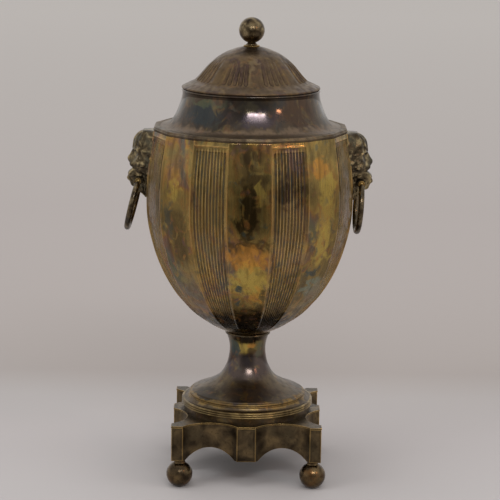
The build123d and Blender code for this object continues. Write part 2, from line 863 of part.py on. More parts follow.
def tube_cap_knob():
    """Turned knob riveted through the cap."""
    seat = tube_top + body_gap + cap_wall + cap_dome_rise
    stem = disc(cap_knob_stem_radius, seat - cap_wall - 1, seat + cap_knob_stem_height)
    rivet = disc(cap_knob_stem_radius + 1, seat - cap_wall - 1, seat - cap_wall)
    shank = disc(cap_knob_stem_radius + 1, seat, seat + cap_knob_stem_height)
    ball = Pos(0, 0, seat + cap_knob_stem_height + cap_knob_radius * 0.7) * Sphere(cap_knob_radius)
    return stem + rivet + shank + ball


# Tap

tap_flange_face = apothem_at(tap_axis_height + tap_flange_radius) + tap_flange_least
tap_seal_face = apothem_at(tap_axis_height - tap_seal_radius, vessel_inner_line) - tap_seal_least
tap_barrel_y = tap_flange_face + tap_barrel_reach
barrel_bottom = tap_axis_height - tap_barrel_height / 2
barrel_top = tap_axis_height + tap_barrel_height / 2
plug_bottom = barrel_bottom - body_gap
plug_seat = barrel_top + body_gap
lever_bottom = plug_seat + plug_head_height
lever_axis = lever_bottom + lever_hub_height / 2


def at_plug(solid):
    """A piece of the plug's stack, moved over to the barrel's axis."""
    return Pos(0, tap_barrel_y, 0) * solid


def tap_flange(outer_form):
    """Boss between the sloping panel and the tap's upright face."""
    boss = bar_along_y(tap_flange_radius, tap_flange_face / 2, tap_flange_face, tap_axis_height)
    boss -= bar_along_y(tap_shank_radius + seat_clearance, 0, tap_flange_face + 1, tap_axis_height)
    return boss - outer_form


def tap_seal(inner_form):
    """Washer inside the vessel, shaped to the sloping panel."""
    washer = bar_along_y(tap_seal_radius, tap_seal_face, tap_flange_face, tap_axis_height)
    washer -= bar_along_y(tap_shank_radius + seat_clearance, 0, tap_flange_face + 1, tap_axis_height)
    return washer & inner_form


def tap_backnut():
    """Nut on the tap's shank inside the vessel."""
    nut = Pos(0, tap_seal_face, tap_axis_height) * Rot(90, 0, 0) * hexagon_bar(tap_nut_width, tap_nut_height)
    return nut - bar_along_y(tap_shank_radius + seat_clearance, 0, tap_seal_face + 1, tap_axis_height)


def tap_body():
    """Shank, tapered barrel and curved spout in one casting, bored through."""
    start = tap_seal_face - tap_nut_height - tap_shank_tail
    body = bar_along_y(tap_shank_radius, start, tap_barrel_y, tap_axis_height)
    body += bar_along_y(tap_collar_radius, tap_flange_face, tap_flange_face + tap_collar_thickness, tap_axis_height)
    body += at_plug(disc(tap_barrel_radius, barrel_bottom, barrel_top))
    bend_y = tap_barrel_y + spout_run
    end_y = bend_y + spout_bend_radius
    bend_z = tap_axis_height - spout_bend_radius
    arc_share = 1 - cos(radians(45))
    path = Polyline((0, tap_barrel_y, tap_axis_height), (0, bend_y, tap_axis_height)) + ThreePointArc(
        (0, bend_y, tap_axis_height),
        (0, end_y - spout_bend_radius * arc_share, tap_axis_height - spout_bend_radius * arc_share),
        (0, end_y, bend_z),
    )
    path += Line((0, end_y, bend_z), (0, end_y, tap_axis_height - spout_drop))
    start_plane = Plane(origin=(0, tap_barrel_y, tap_axis_height), z_dir=(0, 1, 0))
    body += sweep(start_plane * Circle(spout_radius), path=path)
    lip_bottom = tap_axis_height - spout_drop
    body += Pos(0, end_y, 0) * disc(spout_lip_radius, lip_bottom, lip_bottom + spout_lip_height)
    body -= at_plug(plug_cone(running_clearance, barrel_bottom - 1, barrel_top + 1))
    body -= sweep(start_plane * Circle(tap_bore_radius), path=path)
    return body - bar_along_y(tap_bore_radius, start - 1, tap_barrel_y, tap_axis_height)


def plug_cone(clearance, bottom, top):
    """Cone of the plug, or of its seat with a clearance added."""
    slope = (plug_top_radius - plug_bottom_radius) / (barrel_top - barrel_bottom)
    low = plug_bottom_radius + slope * (bottom - barrel_bottom) + clearance
    high = plug_bottom_radius + slope * (top - barrel_bottom) + clearance
    cone = Cone(low, high, top - bottom, align=(Align.CENTER, Align.CENTER, Align.MIN))
    return Pos(0, 0, bottom) * cone


def tap_plug():
    """Tapered plug, shut: its cross bore lies along X."""
    plug = plug_cone(0, plug_bottom, plug_seat)
    plug += disc(plug_head_radius, plug_seat, lever_bottom)
    plug += Pos(0, 0, lever_bottom + plug_square_height / 2) * Box(plug_square, plug_square, plug_square_height)
    plug += disc(
        plug_stub_radius,
        plug_bottom - plug_washer_thickness - plug_nut_height - 1,
        plug_bottom,
    )
    plug -= Pos(0, 0, tap_axis_height) * Cylinder(tap_bore_radius, 4 * plug_top_radius, rotation=(0, 90, 0))
    screw_hole = disc(lever_screw_shank + seat_clearance, lever_bottom, lever_bottom + 2 * plug_square_height)
    return at_plug(plug - screw_hole)


def tap_plug_washer():
    """Washer under the plug."""
    top = plug_bottom
    return at_plug(ring_solid(plug_stub_radius + seat_clearance, plug_head_radius, top - plug_washer_thickness, top))


def tap_plug_nut():
    """Nut that draws the plug into its seat."""
    bottom = plug_bottom - plug_washer_thickness - plug_nut_height
    nut = Pos(0, 0, bottom) * hexagon_bar(plug_nut_width, plug_nut_height)
    return at_plug(nut - disc(plug_stub_radius + seat_clearance, bottom - 1, plug_bottom))


def tap_lever():
    """Lever hub with its arm and the tang for the grip."""
    hub = disc(lever_hub_radius, lever_bottom, lever_bottom + lever_hub_height)
    arm = Cylinder(lever_arm_radius, lever_arm_reach, align=(Align.CENTER, Align.CENTER, Align.MIN))
    tang_end = lever_arm_reach + lever_tang_length
    tang = Cylinder(lever_tang_radius, tang_end, align=(Align.CENTER, Align.CENTER, Align.MIN))
    lever = hub + Pos(0, 0, lever_axis) * Rot(0, 90, 0) * (arm + tang)
    side = plug_square + 2 * seat_clearance
    square = Box(side, side, 4 * lever_hub_height)
    return at_plug(lever - Pos(0, 0, lever_axis) * square)


def tap_grip():
    """Turned wooden grip on the lever's tang."""
    outline = [(radius, along) for radius, along in grip_outline]
    hole = lever_tang_radius + seat_clearance
    edges = (
        Line((hole, 0.0), outline[0])
        + Spline(*outline, (hole, grip_length))
        + Line((hole, grip_length), (hole, 0.0))
    )
    grip = revolve(Plane.XZ * make_face(edges), axis=Axis.Z)
    return at_plug(Pos(lever_arm_reach, 0, lever_axis) * Rot(0, 90, 0) * grip)


def tap_lever_screw():
    """Screw that keeps the lever on the plug's square."""
    seat = lever_bottom + lever_hub_height
    head = disc(lever_screw_radius, seat, seat + lever_screw_height)
    head = fillet(head.edges().group_by(Axis.Z)[-1], lever_screw_height / 2)
    return at_plug(head + disc(lever_screw_shank, seat - lever_screw_depth, seat))


def build():
    """Every piece by its node name."""
    outer_form = vessel_seat()
    inner_form = vessel_inner()
    pieces = {}
    corners = {"front_right": 0, "back_right": 90, "back_left": 180, "front_left": 270}
    for corner, turn in corners.items():
        spot = Vector(ball_offset, -ball_offset, 0).rotate(Axis.Z, turn)
        pieces[f"ball_foot_{corner}"] = ball_foot(spot.X, spot.Y)
        pieces[f"corner_post_{corner}"] = corner_post(turn)
    for side, turn in {"front": 0, "right": 90, "back": 180, "left": 270}.items():
        pieces[f"mid_pilaster_{side}"] = mid_pilaster(turn)
        pieces[f"plinth_skirt_{side}"] = plinth_skirt(turn)
    pieces["plinth_top"] = plinth_plate()
    pieces["pedestal_foot"] = pedestal_foot()
    pieces["foot_reeded_band"] = foot_band()
    pieces["stem_collar"] = stem_collar()
    pieces["draw_rod"] = draw_rod()
    pieces["draw_rod_washer"] = draw_washer()
    pieces["draw_rod_nut"] = draw_nut()
    pieces["vessel_body"] = vessel_body(inner_form)
    pieces["shoulder_moulding"] = shoulder_moulding()
    pieces["shoulder_neck"] = shoulder_neck()
    pieces["neck_rim"] = neck_rim()
    pieces["lid"] = lid()
    pieces["lid_bezel"] = lid_bezel()
    pieces["finial"] = finial()
    pieces["finial_collar"] = finial_collar()
    pieces["finial_nut"] = finial_nut()
    pieces["mask_right"] = mask(outer_form, pin_toe)
    pieces["mask_left"] = to_left(mask(outer_form, -pin_toe))
    pieces["ring_pin_right"] = ring_pin(pin_toe)
    pieces["ring_pin_left"] = to_left(ring_pin(-pin_toe))
    pieces["ring_handle_right"] = drop_ring(ring_right_lean, pin_toe)
    pieces["ring_handle_left"] = to_left(drop_ring(ring_left_lean, -pin_toe))
    pieces["heater_tube"] = heater_tube()
    pieces["heater_iron"] = heater_iron()
    pieces["tube_cap"] = tube_cap()
    pieces["tube_cap_knob"] = tube_cap_knob()
    pieces["tap_flange"] = tap_flange(outer_form)
    pieces["tap_seal"] = tap_seal(inner_form)
    pieces["tap_backnut"] = tap_backnut()
    pieces["tap_body"] = tap_body()
    pieces["tap_plug"] = tap_plug()
    pieces["tap_plug_washer"] = tap_plug_washer()
    pieces["tap_plug_nut"] = tap_plug_nut()
    pieces["tap_lever"] = tap_lever()
    pieces["tap_grip"] = tap_grip()
    pieces["tap_lever_screw"] = tap_lever_screw()
    return pieces


os.makedirs("parts", exist_ok=True)
for node, solid in build().items():
    export_step(solid, f"parts/{node}.step")
    print(node, round(solid.volume), len(solid.solids()))
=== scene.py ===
import json
import logging
import math
from dataclasses import dataclass, field
from enum import Enum
from typing import Optional, Sequence

import bmesh
import bpy
from mathutils import Matrix, Vector

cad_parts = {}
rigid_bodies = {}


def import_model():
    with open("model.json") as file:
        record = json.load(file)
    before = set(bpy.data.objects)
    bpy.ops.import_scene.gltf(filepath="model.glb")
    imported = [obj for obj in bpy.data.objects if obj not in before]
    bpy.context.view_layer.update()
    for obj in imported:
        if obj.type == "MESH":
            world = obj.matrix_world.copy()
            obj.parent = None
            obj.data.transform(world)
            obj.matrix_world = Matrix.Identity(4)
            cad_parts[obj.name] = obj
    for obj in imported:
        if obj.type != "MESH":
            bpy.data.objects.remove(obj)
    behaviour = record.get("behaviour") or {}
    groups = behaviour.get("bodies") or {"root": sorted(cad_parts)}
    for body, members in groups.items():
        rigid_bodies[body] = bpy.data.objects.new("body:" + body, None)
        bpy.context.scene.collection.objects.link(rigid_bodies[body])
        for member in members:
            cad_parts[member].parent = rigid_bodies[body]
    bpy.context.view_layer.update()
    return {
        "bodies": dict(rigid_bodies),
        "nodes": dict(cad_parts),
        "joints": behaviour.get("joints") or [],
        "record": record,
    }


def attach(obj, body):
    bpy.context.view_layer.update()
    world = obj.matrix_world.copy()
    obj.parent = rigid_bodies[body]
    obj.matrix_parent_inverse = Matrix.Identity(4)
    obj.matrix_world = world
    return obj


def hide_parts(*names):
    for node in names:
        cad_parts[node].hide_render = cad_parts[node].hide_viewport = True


# The tea urn's looks. Sizes are millimetres in the part's own frame: +Z up, the floor at zero,
# the plain front panel towards -Y, the lion masks towards -X and +X, the tap towards +Y.

LOG = logging.getLogger("tea_urn")
MM = 0.001
WELD = 0.002
CAD_WELD = 0.003
SLIVER = 0.0005
FLAT = 0.02
SHARP_ANGLE = 40.0
BEVEL_ANGLE = 32.0
FLAT_ANGLE = 0.6
ACROSS_FLUTE = (-1.0, -0.86, -0.5, 0.0, 0.5, 0.86, 1.0)

Material = bpy.types.Material
Mesh = bpy.types.Mesh
Piece = bpy.types.Object
Socket = bpy.types.NodeSocket

Colour = tuple[float, float, float, float]
Shade = tuple[int, int, int]
Stops = tuple[tuple[float, Shade], ...]
Corner = tuple[float, float]
Point = tuple[float, float, float]
Palette = dict[str, Material]


def paint(shade: Shade) -> Colour:
    """A display colour, 0 to 255, as the linear colour that a shader takes."""
    shares = [value / 255 for value in shade]
    parts = [share / 12.92 if share <= 0.04045 else ((share + 0.055) / 1.055) ** 2.4 for share in shares]
    return (parts[0], parts[1], parts[2], 1.0)


def smooth_step(value: float) -> float:
    """Eases a share from 0 to 1, held at both ends."""
    share = min(max(value, 0.0), 1.0)
    return share * share * (3 - 2 * share)


def hump(value: float) -> float:
    """A round hump that is 1 at 0 and falls to 0 at -1 and 1."""
    return math.cos(value * math.pi / 2) ** 2 if abs(value) < 1 else 0.0


def flute_middles(count: int, pitch: float) -> list[float]:
    """Places of the middles of a row of flutes that is centred on zero."""
    return [(flute + 0.5 - count / 2) * pitch for flute in range(count)]


def flute_depth(along: float, pitch: float, opening: float, to_end: float, half_width: float) -> float:
    """How deep a round flute with a round end is at a place, as a share of its full depth.

    Args:
        along: distance from the first flute's side, along the row.
        pitch: distance from one flute to the next, measured like along.
        opening: the part of the pitch that a flute takes.
        to_end: distance to the flute's round end in millimetres.
        half_width: half the flute's width in millimetres.

    Returns:
        The depth, 0 beside the flute.
    """
    share = 2 * ((along % pitch) / pitch - 0.5) / opening
    end = max(0.0, 1 - to_end / half_width)
    left = 1 - share * share - end * end
    return math.sqrt(left) if left > 0 else 0.0


class Body(Enum):
    """The part's bodies, which pieces ride on."""

    ROOT = "root"
    LID = "lid"
    RING_LEFT = "ring_left"
    RING_RIGHT = "ring_right"
    TUBE_CAP = "tube_cap"
    HEATER_IRON = "heater_iron"
    TAP_PLUG = "tap_plug"


class Slot(Enum):
    """The record's material slots."""

    FOOT_BALLS = "foot_balls"
    PLINTH = "plinth_metal"
    PEDESTAL = "pedestal_metal"
    FIXINGS = "fixings"
    BODY = "body_plate"
    SHOULDER = "shoulder_plate"
    LID = "lid_plate"
    FINIAL = "finial_metal"
    MASK = "mask_metal"
    TINNED = "tinned_metal"
    IRON = "iron"
    TAP = "tap_metal"
    LEATHER = "seal_leather"
    WOOD = "grip_wood"


class Side(Enum):
    """The two sides that carry a lion mask: +1 is right, -1 is left."""

    RIGHT = 1
    LEFT = -1

    @property
    def word(self) -> str:
        """The side's name as the part's nodes have it."""
        return self.name.lower()


class Rounding(Enum):
    """Which edges of a piece are rounded, and how its faces then look."""

    SOFT = "sharp edges, with the faces shaded as one"
    MARKED = "edges with a bevel weight, with the faces kept apart"


# Materials


class Nodes:
    """Fills a node tree, a node at a time."""

    def __init__(self, tree: bpy.types.NodeTree) -> None:
        """Takes the tree that is filled."""
        self.tree = tree

    def add(self, kind: str, inputs: Optional[dict] = None, **settings: object) -> bpy.types.Node:
        """Adds a node.

        Args:
            kind: the node's type.
            inputs: what each input socket takes, a value or another node's output.
            settings: the node's own options.

        Returns:
            The new node.
        """
        node = self.tree.nodes.new(kind)
        for key, value in settings.items():
            setattr(node, key, value)
        for key, value in (inputs or {}).items():
            self.feed(node.inputs[key], value)
        return node

    def feed(self, socket: Socket, value: object) -> None:
        """Links an output to a socket, or sets the socket's value."""
        if isinstance(value, Socket):
            self.tree.links.new(value, socket)
        else:
            socket.default_value = value

    def sum(self, operation: str, first: object, second: object) -> Socket:
        """One arithmetic step on two numbers."""
        return self.add("ShaderNodeMath", {0: first, 1: second}, operation=operation).outputs[0]

    def times(self, first: object, second: object) -> Socket:
        """The product of two numbers."""
        return self.sum("MULTIPLY", first, second)

    def vector(self, operation: str, inputs: dict) -> Socket:
        """One arithmetic step on vectors."""
        return self.add("ShaderNodeVectorMath", inputs, operation=operation).outputs[0]

    def span(self, value: Socket, low: float, high: float, start: float = 0.0, end: float = 1.0) -> Socket:
        """Eases a value between low and high into start to end.

        Args:
            value: the socket that is mapped.
            low: the value that gives start.
            high: the value that gives end.
            start: the result at low.
            end: the result at high.

        Returns:
            The mapped value's socket.
        """
        inputs = dict(enumerate((value, low, high, start, end)))
        return self.add("ShaderNodeMapRange", inputs, interpolation_type="SMOOTHSTEP").outputs[0]


class Shader(Nodes):
    """Builds the node tree of one material."""

    def __init__(self, name: str) -> None:
        """Starts a material with its surface shader and its object coordinates."""
        self.material = bpy.data.materials.new(name)
        self.material.use_nodes = True
        super().__init__(self.material.node_tree)
        self.surface = self.tree.nodes["Principled BSDF"].inputs
        self.place = self.add("ShaderNodeTexCoord").outputs["Object"]

    def noise(
        self,
        size: float,
        detail: float = 3.0,
        stretch: Point = (1.0, 1.0, 1.0),
        shift: Point = (0.0, 0.0, 0.0),
        warp: float = 0.0,
        output: int = 0,
    ) -> Socket:
        """Cloudy noise over the piece.

        Args:
            size: width of its blots in millimetres.
            detail: how many finer octaves it has.
            stretch: how much quicker it changes along each axis.
            shift: where it starts, so that two of one size differ.
            warp: how much it curls.
            output: 0 for a number, 1 for a colour.

        Returns:
            The noise's output socket.
        """
        place = self.add("ShaderNodeMapping", {"Vector": self.place, "Location": shift, "Scale": stretch})
        cloud = {"Vector": place.outputs[0], "Scale": 1 / (size * MM), "Detail": detail, "Distortion": warp}
        return self.add("ShaderNodeTexNoise", cloud).outputs[output]

    def mix(self, share: object, first: object, second: object) -> Socket:
        """Mixes two colours, each a socket or a shade, by a share."""
        node = self.add("ShaderNodeMix", {0: share}, data_type="RGBA")
        for index, colour in ((6, first), (7, second)):
            self.feed(node.inputs[index], colour if isinstance(colour, Socket) else paint(colour))
        return node.outputs[2]

    def ramp(self, value: Socket, stops: Stops) -> Socket:
        """Turns a number into a colour.

        Args:
            value: the number's socket.
            stops: places from 0 to 1, in order, each with its shade.

        Returns:
            The colour's socket.
        """
        node = self.add("ShaderNodeValToRGB", {"Fac": value})
        elements = node.color_ramp.elements
        elements[0].position = stops[0][0]
        elements[1].position = stops[-1][0]
        for place, _ in stops[1:-1]:
            elements.new(place)
        for element, (_, shade) in zip(elements, stops):
            element.color = paint(shade)
        return node.outputs[0]

    def bump(self, height: Socket, depth: float, normal: Optional[Socket] = None) -> Socket:
        """Relief too fine for the mesh.

        Args:
            height: the relief, 0 to 1.
            depth: its depth in millimetres.
            normal: another relief that this one lies on.

        Returns:
            The normal's socket.
        """
        inputs = {"Height": height, "Distance": depth * MM, "Strength": 1.0}
        if normal is not None:
            inputs["Normal"] = normal
        return self.add("ShaderNodeBump", inputs).outputs[0]

    def finished(self, colour: Socket, metallic: float, roughness: Socket, normal: Socket) -> Material:
        """The material, once its surface is fed."""
        values = {"Base Color": colour, "Metallic": metallic, "Roughness": roughness, "Normal": normal}
        for key, value in values.items():
            self.feed(self.surface[key], value)
        return self.material


@dataclass(frozen=True)
class Metal:
    """Aged brass or worn plate: three tones, a scatter of tints and a soft, scratched shine."""

    name: str
    dark: Shade
    middle: Shade
    light: Shade
    tint: Shade
    blot: float = 14.0
    shine: float = 0.3
    dullness: float = 0.16
    scratch: float = 0.012
    pit: float = 0.0
    # Crests lightened and hollows darkened: wear and dirt, and also painted highlight and painted shade.
    worn: float = 0.0

    def make(self) -> Material:
        """The finish as a material."""
        shader = Shader(self.name)
        cloud = shader.noise(self.blot, 5.0, warp=0.5)
        colour = shader.ramp(cloud, ((0.3, self.dark), (0.48, self.middle), (0.66, self.light)))
        tinted = shader.noise(self.blot * 1.7, 3.0, shift=(3.1, 1.7, 0.4))
        colour = shader.mix(shader.span(tinted, 0.5, 0.68, 0.0, 0.65), colour, self.tint)
        grime = shader.noise(self.blot / 5, 4.0, shift=(0.7, 5.2, 2.0))
        colour = shader.mix(shader.span(grime, 0.56, 0.74, 0.0, 0.55), colour, self.dark)
        # Pointiness darkens the hollows and lightens the crests: dirt and wear, with painted shade in the
        # hollows and painted highlight on the crests.
        if self.worn > 0:
            edges = shader.add("ShaderNodeNewGeometry").outputs["Pointiness"]
            colour = shader.mix(shader.span(edges, 0.485, 0.44, 0.0, 0.85), colour, self.dark)
            colour = shader.mix(shader.span(edges, 0.525, 0.58, 0.0, self.worn), colour, self.light)
        roughness = shader.span(grime, 0.35, 0.65, self.shine, self.shine + self.dullness)
        scratches = shader.noise(1.1, 2.0, stretch=(1.0, 1.0, 9.0), shift=(2.0, 0.3, 0.9))
        relief = shader.bump(scratches, self.scratch)
        if self.pit > 0:
            relief = shader.bump(shader.noise(2.2, 4.0), self.pit, relief)
        return shader.finished(colour, 1.0, roughness, relief)


@dataclass(frozen=True)
class ColourPatch:
    """A patch laid on the plate, tarnish on some pieces and painted highlight, shade or reflection on others:
    its middle, its half widths, its shade and how much it covers.
    """

    middle: Point
    reach: Point
    shade: Shade
    cover: float


@dataclass(frozen=True)
class TarnishedPlate:
    """Old silvered plate with colours of tarnish, darker in its flutes from dirt and painted shade, and gold
    along its ribs; on some pieces its patches are painted light.
    """

    name: str
    patches: tuple[ColourPatch, ...] = ()
    shine: float = 0.2
    dullness: float = 0.16
    wobble: float = 0.35
    grain: float = 0.02
    ragged: float = 0.034
    patch_edge: Corner = (1.04, 0.56)
    dull_below: float = 0.0
    dulled_by: float = 0.24
    dull_edge: float = 14.0
    tones: Stops = (
        (0.28, (84, 69, 46)), (0.4, (120, 102, 64)), (0.47, (152, 128, 74)),
        (0.53, (158, 120, 68)), (0.58, (134, 100, 80)), (0.64, (108, 102, 92)),
        (0.71, (110, 112, 86)), (0.8, (150, 134, 104)),
    )
    # Flute colours: dirt in the flutes, made darker as painted shade.
    flute_dirt_and_shade: Stops = (
        (0.3, (56, 43, 30)), (0.41, (98, 80, 46)), (0.49, (66, 82, 84)), (0.56, (98, 78, 74)),
        (0.7, (128, 98, 56)),
    )
    sunk: float = 0.62
    rubbed_above: float = 0.0
    rubbed_edge: Corner = (-7.0, 11.0)
    mottle: float = 0.5
    mottles: Stops = (
        (0.36, (84, 96, 88)), (0.46, (176, 150, 84)), (0.54, (170, 116, 62)),
        (0.64, (116, 90, 88)),
    )
    land: Shade = (214, 178, 116)
    crest: Shade = (172, 128, 70)
    fleck: Shade = (52, 43, 32)

    def make(self) -> Material:
        """The finish as a material."""
        shader = Shader(self.name)
        colour = shader.ramp(shader.noise(38, 5.0, stretch=(1.0, 1.0, 0.6), warp=0.9), self.tones)
        cloud = shader.span(shader.noise(60, 3.0, shift=(4.0, 1.0, 2.0), warp=0.5), 0.42, 0.62, 0.0, 0.4)
        colour = shader.mix(cloud, colour, self.tones[1][1])
        colour = self.laid_patches(shader, colour)
        tint = shader.ramp(shader.noise(20, 2.0, shift=(8.0, 3.0, 5.0), warp=0.6), self.mottles)
        spots = shader.noise(10, 6.0, stretch=(1.0, 1.0, 0.7), shift=(3.0, 9.0, 4.0), warp=1.2)
        colour = shader.mix(shader.span(spots, 0.52, 0.64, 0.0, self.mottle), colour, tint)
        streak = shader.noise(5, 3.0, stretch=(1.0, 1.0, 0.09), shift=(1.0, 7.0, 3.0))
        colour = shader.mix(shader.span(streak, 0.48, 0.7, 0.0, 0.4), colour, self.tones[0][1])
        height = shader.add("ShaderNodeSeparateXYZ", {0: shader.place}).outputs[2]
        colour = self.flute_dirt_shade_and_wear(shader, colour, height)
        fleck = shader.noise(2.6, 3.0, shift=(6.0, 6.0, 1.0))
        colour = shader.mix(shader.span(fleck, 0.62, 0.78, 0.0, 0.45), colour, self.fleck)
        roughness = shader.span(streak, 0.35, 0.65, self.shine, self.shine + self.dullness)
        if self.dull_below > 0:
            low = (self.dull_below - self.dull_edge) * MM
            high = (self.dull_below + self.dull_edge) * MM
            roughness = shader.sum("ADD", roughness, shader.span(height, low, high, self.dulled_by, 0.0))
        dents = shader.noise(30, 2.0, stretch=(1.0, 1.0, 0.7), shift=(5.0, 1.0, 1.0))
        brushing = shader.noise(4.0, 3.0, stretch=(1.0, 1.0, 0.14))
        relief = shader.bump(brushing, self.grain, shader.bump(dents, self.wobble))
        return shader.finished(colour, 1.0, roughness, relief)

    def flute_dirt_shade_and_wear(self, shader: Shader, colour: Socket, height: Socket) -> Socket:
        """The colour with dirt and painted shade in the flutes, and the lands and beads rubbed bright."""
        depth = shader.add("ShaderNodeAttribute", attribute_name="relief").outputs["Fac"]
        line = shader.noise(3.2, 2.0, stretch=(1.0, 1.0, 0.05), shift=(9.0, 2.0, 5.0))
        low, high = ((self.rubbed_above + edge) * MM for edge in self.rubbed_edge)
        clean = shader.span(height, low, high)
        # Flutes darkened by dirt and by painted shade.
        sunk = shader.times(shader.span(depth, -0.1, -0.6, 0.0, self.sunk), clean)
        colour = shader.mix(sunk, colour, shader.ramp(line, self.flute_dirt_and_shade))
        patch = shader.noise(16, 4.0, stretch=(1.0, 1.0, 0.5), shift=(2.0, 2.0, 8.0))
        rubbed = shader.times(shader.span(patch, 0.36, 0.6, 0.3, 1.0), clean)
        rubbed = shader.times(rubbed, shader.span(line, 0.34, 0.62, 1.0, 0.2))
        colour = shader.mix(shader.times(shader.span(depth, 0.0, 0.06, 0.0, 0.6), rubbed), colour, self.land)
        return shader.mix(shader.times(shader.span(depth, 0.1, 0.3, 0.0, 0.8), rubbed), colour, self.crest)

    def laid_patches(self, shader: Shader, colour: Socket) -> Socket:
        """The colour with each patch laid over it, tarnish and painted light alike, its edge made ragged by
        noise.
        """
        ragged = shader.noise(11, 6.0, output=1, warp=0.5)
        spread = shader.vector("SUBTRACT", {0: ragged, 1: (0.5, 0.5, 0.5)})
        spread = shader.vector("SCALE", {0: spread, "Scale": self.ragged})
        place = shader.vector("ADD", {0: shader.place, 1: spread})
        for colour_patch in self.patches:
            middle = tuple(value * MM for value in colour_patch.middle)
            reach = tuple(1 / (value * MM) for value in colour_patch.reach)
            away = shader.vector("MULTIPLY", {0: shader.vector("SUBTRACT", {0: place, 1: middle}), 1: reach})
            away = shader.add("ShaderNodeVectorMath", {0: away}, operation="LENGTH").outputs["Value"]
            share = shader.span(away, *self.patch_edge, 0.0, colour_patch.cover)
            colour = shader.mix(share, colour, colour_patch.shade)
        return colour


@dataclass(frozen=True)
class Plain:
    """A finish that isn't metal plate: wood, leather or scaled iron."""

    name: str
    dark: Shade
    light: Shade
    grain: float
    stretch: Point
    roughness: float
    relief: float
    metallic: float = 0.0

    def make(self) -> Material:
        """The finish as a material."""
        shader = Shader(self.name)
        grain = shader.noise(self.grain, 5.0, stretch=self.stretch, warp=0.4)
        colour = shader.ramp(grain, ((0.35, self.dark), (0.65, self.light)))
        roughness = shader.span(grain, 0.3, 0.7, self.roughness, self.roughness + 0.15)
        return shader.finished(colour, self.metallic, roughness, shader.bump(grain, self.relief))


ORANGE = (196, 140, 66)
AMBER = (206, 152, 70)
STRAW = (194, 168, 86)
OLIVE = (124, 112, 66)
UMBER = (86, 68, 40)
SLATE = (66, 80, 80)
PLUM = (104, 84, 88)
# A pale mauve painted at the sides as reflection of the backdrop at a grazing angle.
GRAZING_SHEEN_MAUVE = (186, 176, 168)

# Tarnish of the body, with painted reflection among it: dark patches high in the front panel's middle, a
# near-black band low round the front, and pale strips at both sides.
BODY_STAINS_AND_REFLECTIONS = (
    ColourPatch((-42, -100, 300), (22, 22, 96), (196, 166, 104), 0.4),
    ColourPatch((44, -100, 276), (22, 22, 60), (200, 168, 118), 0.45),
    ColourPatch((42, -102, 356), (20, 20, 36), (70, 54, 50), 0.8),
    ColourPatch((46, -102, 362), (9, 20, 18), (132, 104, 108), 0.5),
    ColourPatch((42, -102, 326), (26, 26, 12), (44, 35, 30), 0.85),
    ColourPatch((0, -112, 350), (30, 26, 48), UMBER, 0.35),
    # Painted reflection: the dark room mirrored high in the front panel's middle.
    ColourPatch((-1, -112, 316), (18, 20, 54), (98, 80, 50), 0.7),
    ColourPatch((0, -112, 366), (20, 20, 12), (84, 68, 50), 0.7),
    ColourPatch((-3, -112, 306), (12, 20, 44), (52, 43, 26), 0.85),
    ColourPatch((10, -112, 330), (6, 20, 15), STRAW, 0.6),
    ColourPatch((13, -112, 300), (4, 20, 22), OLIVE, 0.6),
    ColourPatch((-12, -112, 318), (3, 20, 34), OLIVE, 0.5),
    ColourPatch((0, -108, 272), (30, 24, 8), UMBER, 0.8),
    ColourPatch((0, -106, 258), (28, 24, 18), ORANGE, 0.85),
    ColourPatch((2, -106, 250), (13, 20, 9), AMBER, 0.8),
    ColourPatch((0, -98, 230), (26, 26, 22), STRAW, 0.85),
    ColourPatch((-8, -98, 222), (6, 18, 6), SLATE, 0.9),
    ColourPatch((-9, -88, 206), (7, 14, 4), SLATE, 0.8),
    ColourPatch((10, -92, 214), (7, 20, 12), AMBER, 0.6),
    # Painted reflection: the shaded floor mirrored low round the front, near black.
    ColourPatch((0, -54, 178), (66, 60, 19), (27, 22, 15), 0.95),
    ColourPatch((-79, -79, 356), (22, 22, 24), (112, 100, 76), 0.5),
    ColourPatch((-79, -79, 338), (11, 11, 20), AMBER, 0.35),
    ColourPatch((-72, -88, 352), (4, 8, 16), SLATE, 0.8),
    ColourPatch((-80, -76, 325), (8, 12, 14), STRAW, 0.6),
    ColourPatch((-76, -76, 268), (22, 22, 42), UMBER, 0.45),
    ColourPatch((-84, -68, 290), (6, 10, 34), SLATE, 0.45),
    ColourPatch((76, -80, 352), (13, 13, 16), ORANGE, 0.75),
    ColourPatch((82, -76, 328), (14, 14, 22), STRAW, 0.75),
    ColourPatch((78, -76, 268), (16, 16, 30), STRAW, 0.75),
    ColourPatch((74, -78, 238), (16, 16, 8), SLATE, 0.85),
    ColourPatch((68, -66, 220), (16, 20, 11), (132, 138, 118), 0.8),
    ColourPatch((80, -76, 300), (16, 16, 26), STRAW, 0.5),
    ColourPatch((84, -62, 300), (5, 10, 30), SLATE, 0.4),
    ColourPatch((-68, -76, 222), (26, 22, 34), (160, 140, 92), 0.5),
    ColourPatch((-60, -62, 215), (26, 26, 12), PLUM, 0.3),
    # Painted reflection: pale strips where the sides mirror the backdrop at a grazing angle.
    ColourPatch((-106, -44, 300), (22, 20, 96), (150, 134, 110), 0.6),
    ColourPatch((106, -44, 300), (22, 20, 96), (158, 144, 122), 0.6),
    ColourPatch((-112, -40, 284), (20, 14, 66), GRAZING_SHEEN_MAUVE, 0.6),
    ColourPatch((112, -40, 290), (20, 14, 70), GRAZING_SHEEN_MAUVE, 0.65),
    ColourPatch((-84, -52, 205), (34, 34, 24), (132, 122, 104), 0.6),
    ColourPatch((86, -52, 205), (34, 34, 24), (140, 134, 116), 0.6),
)

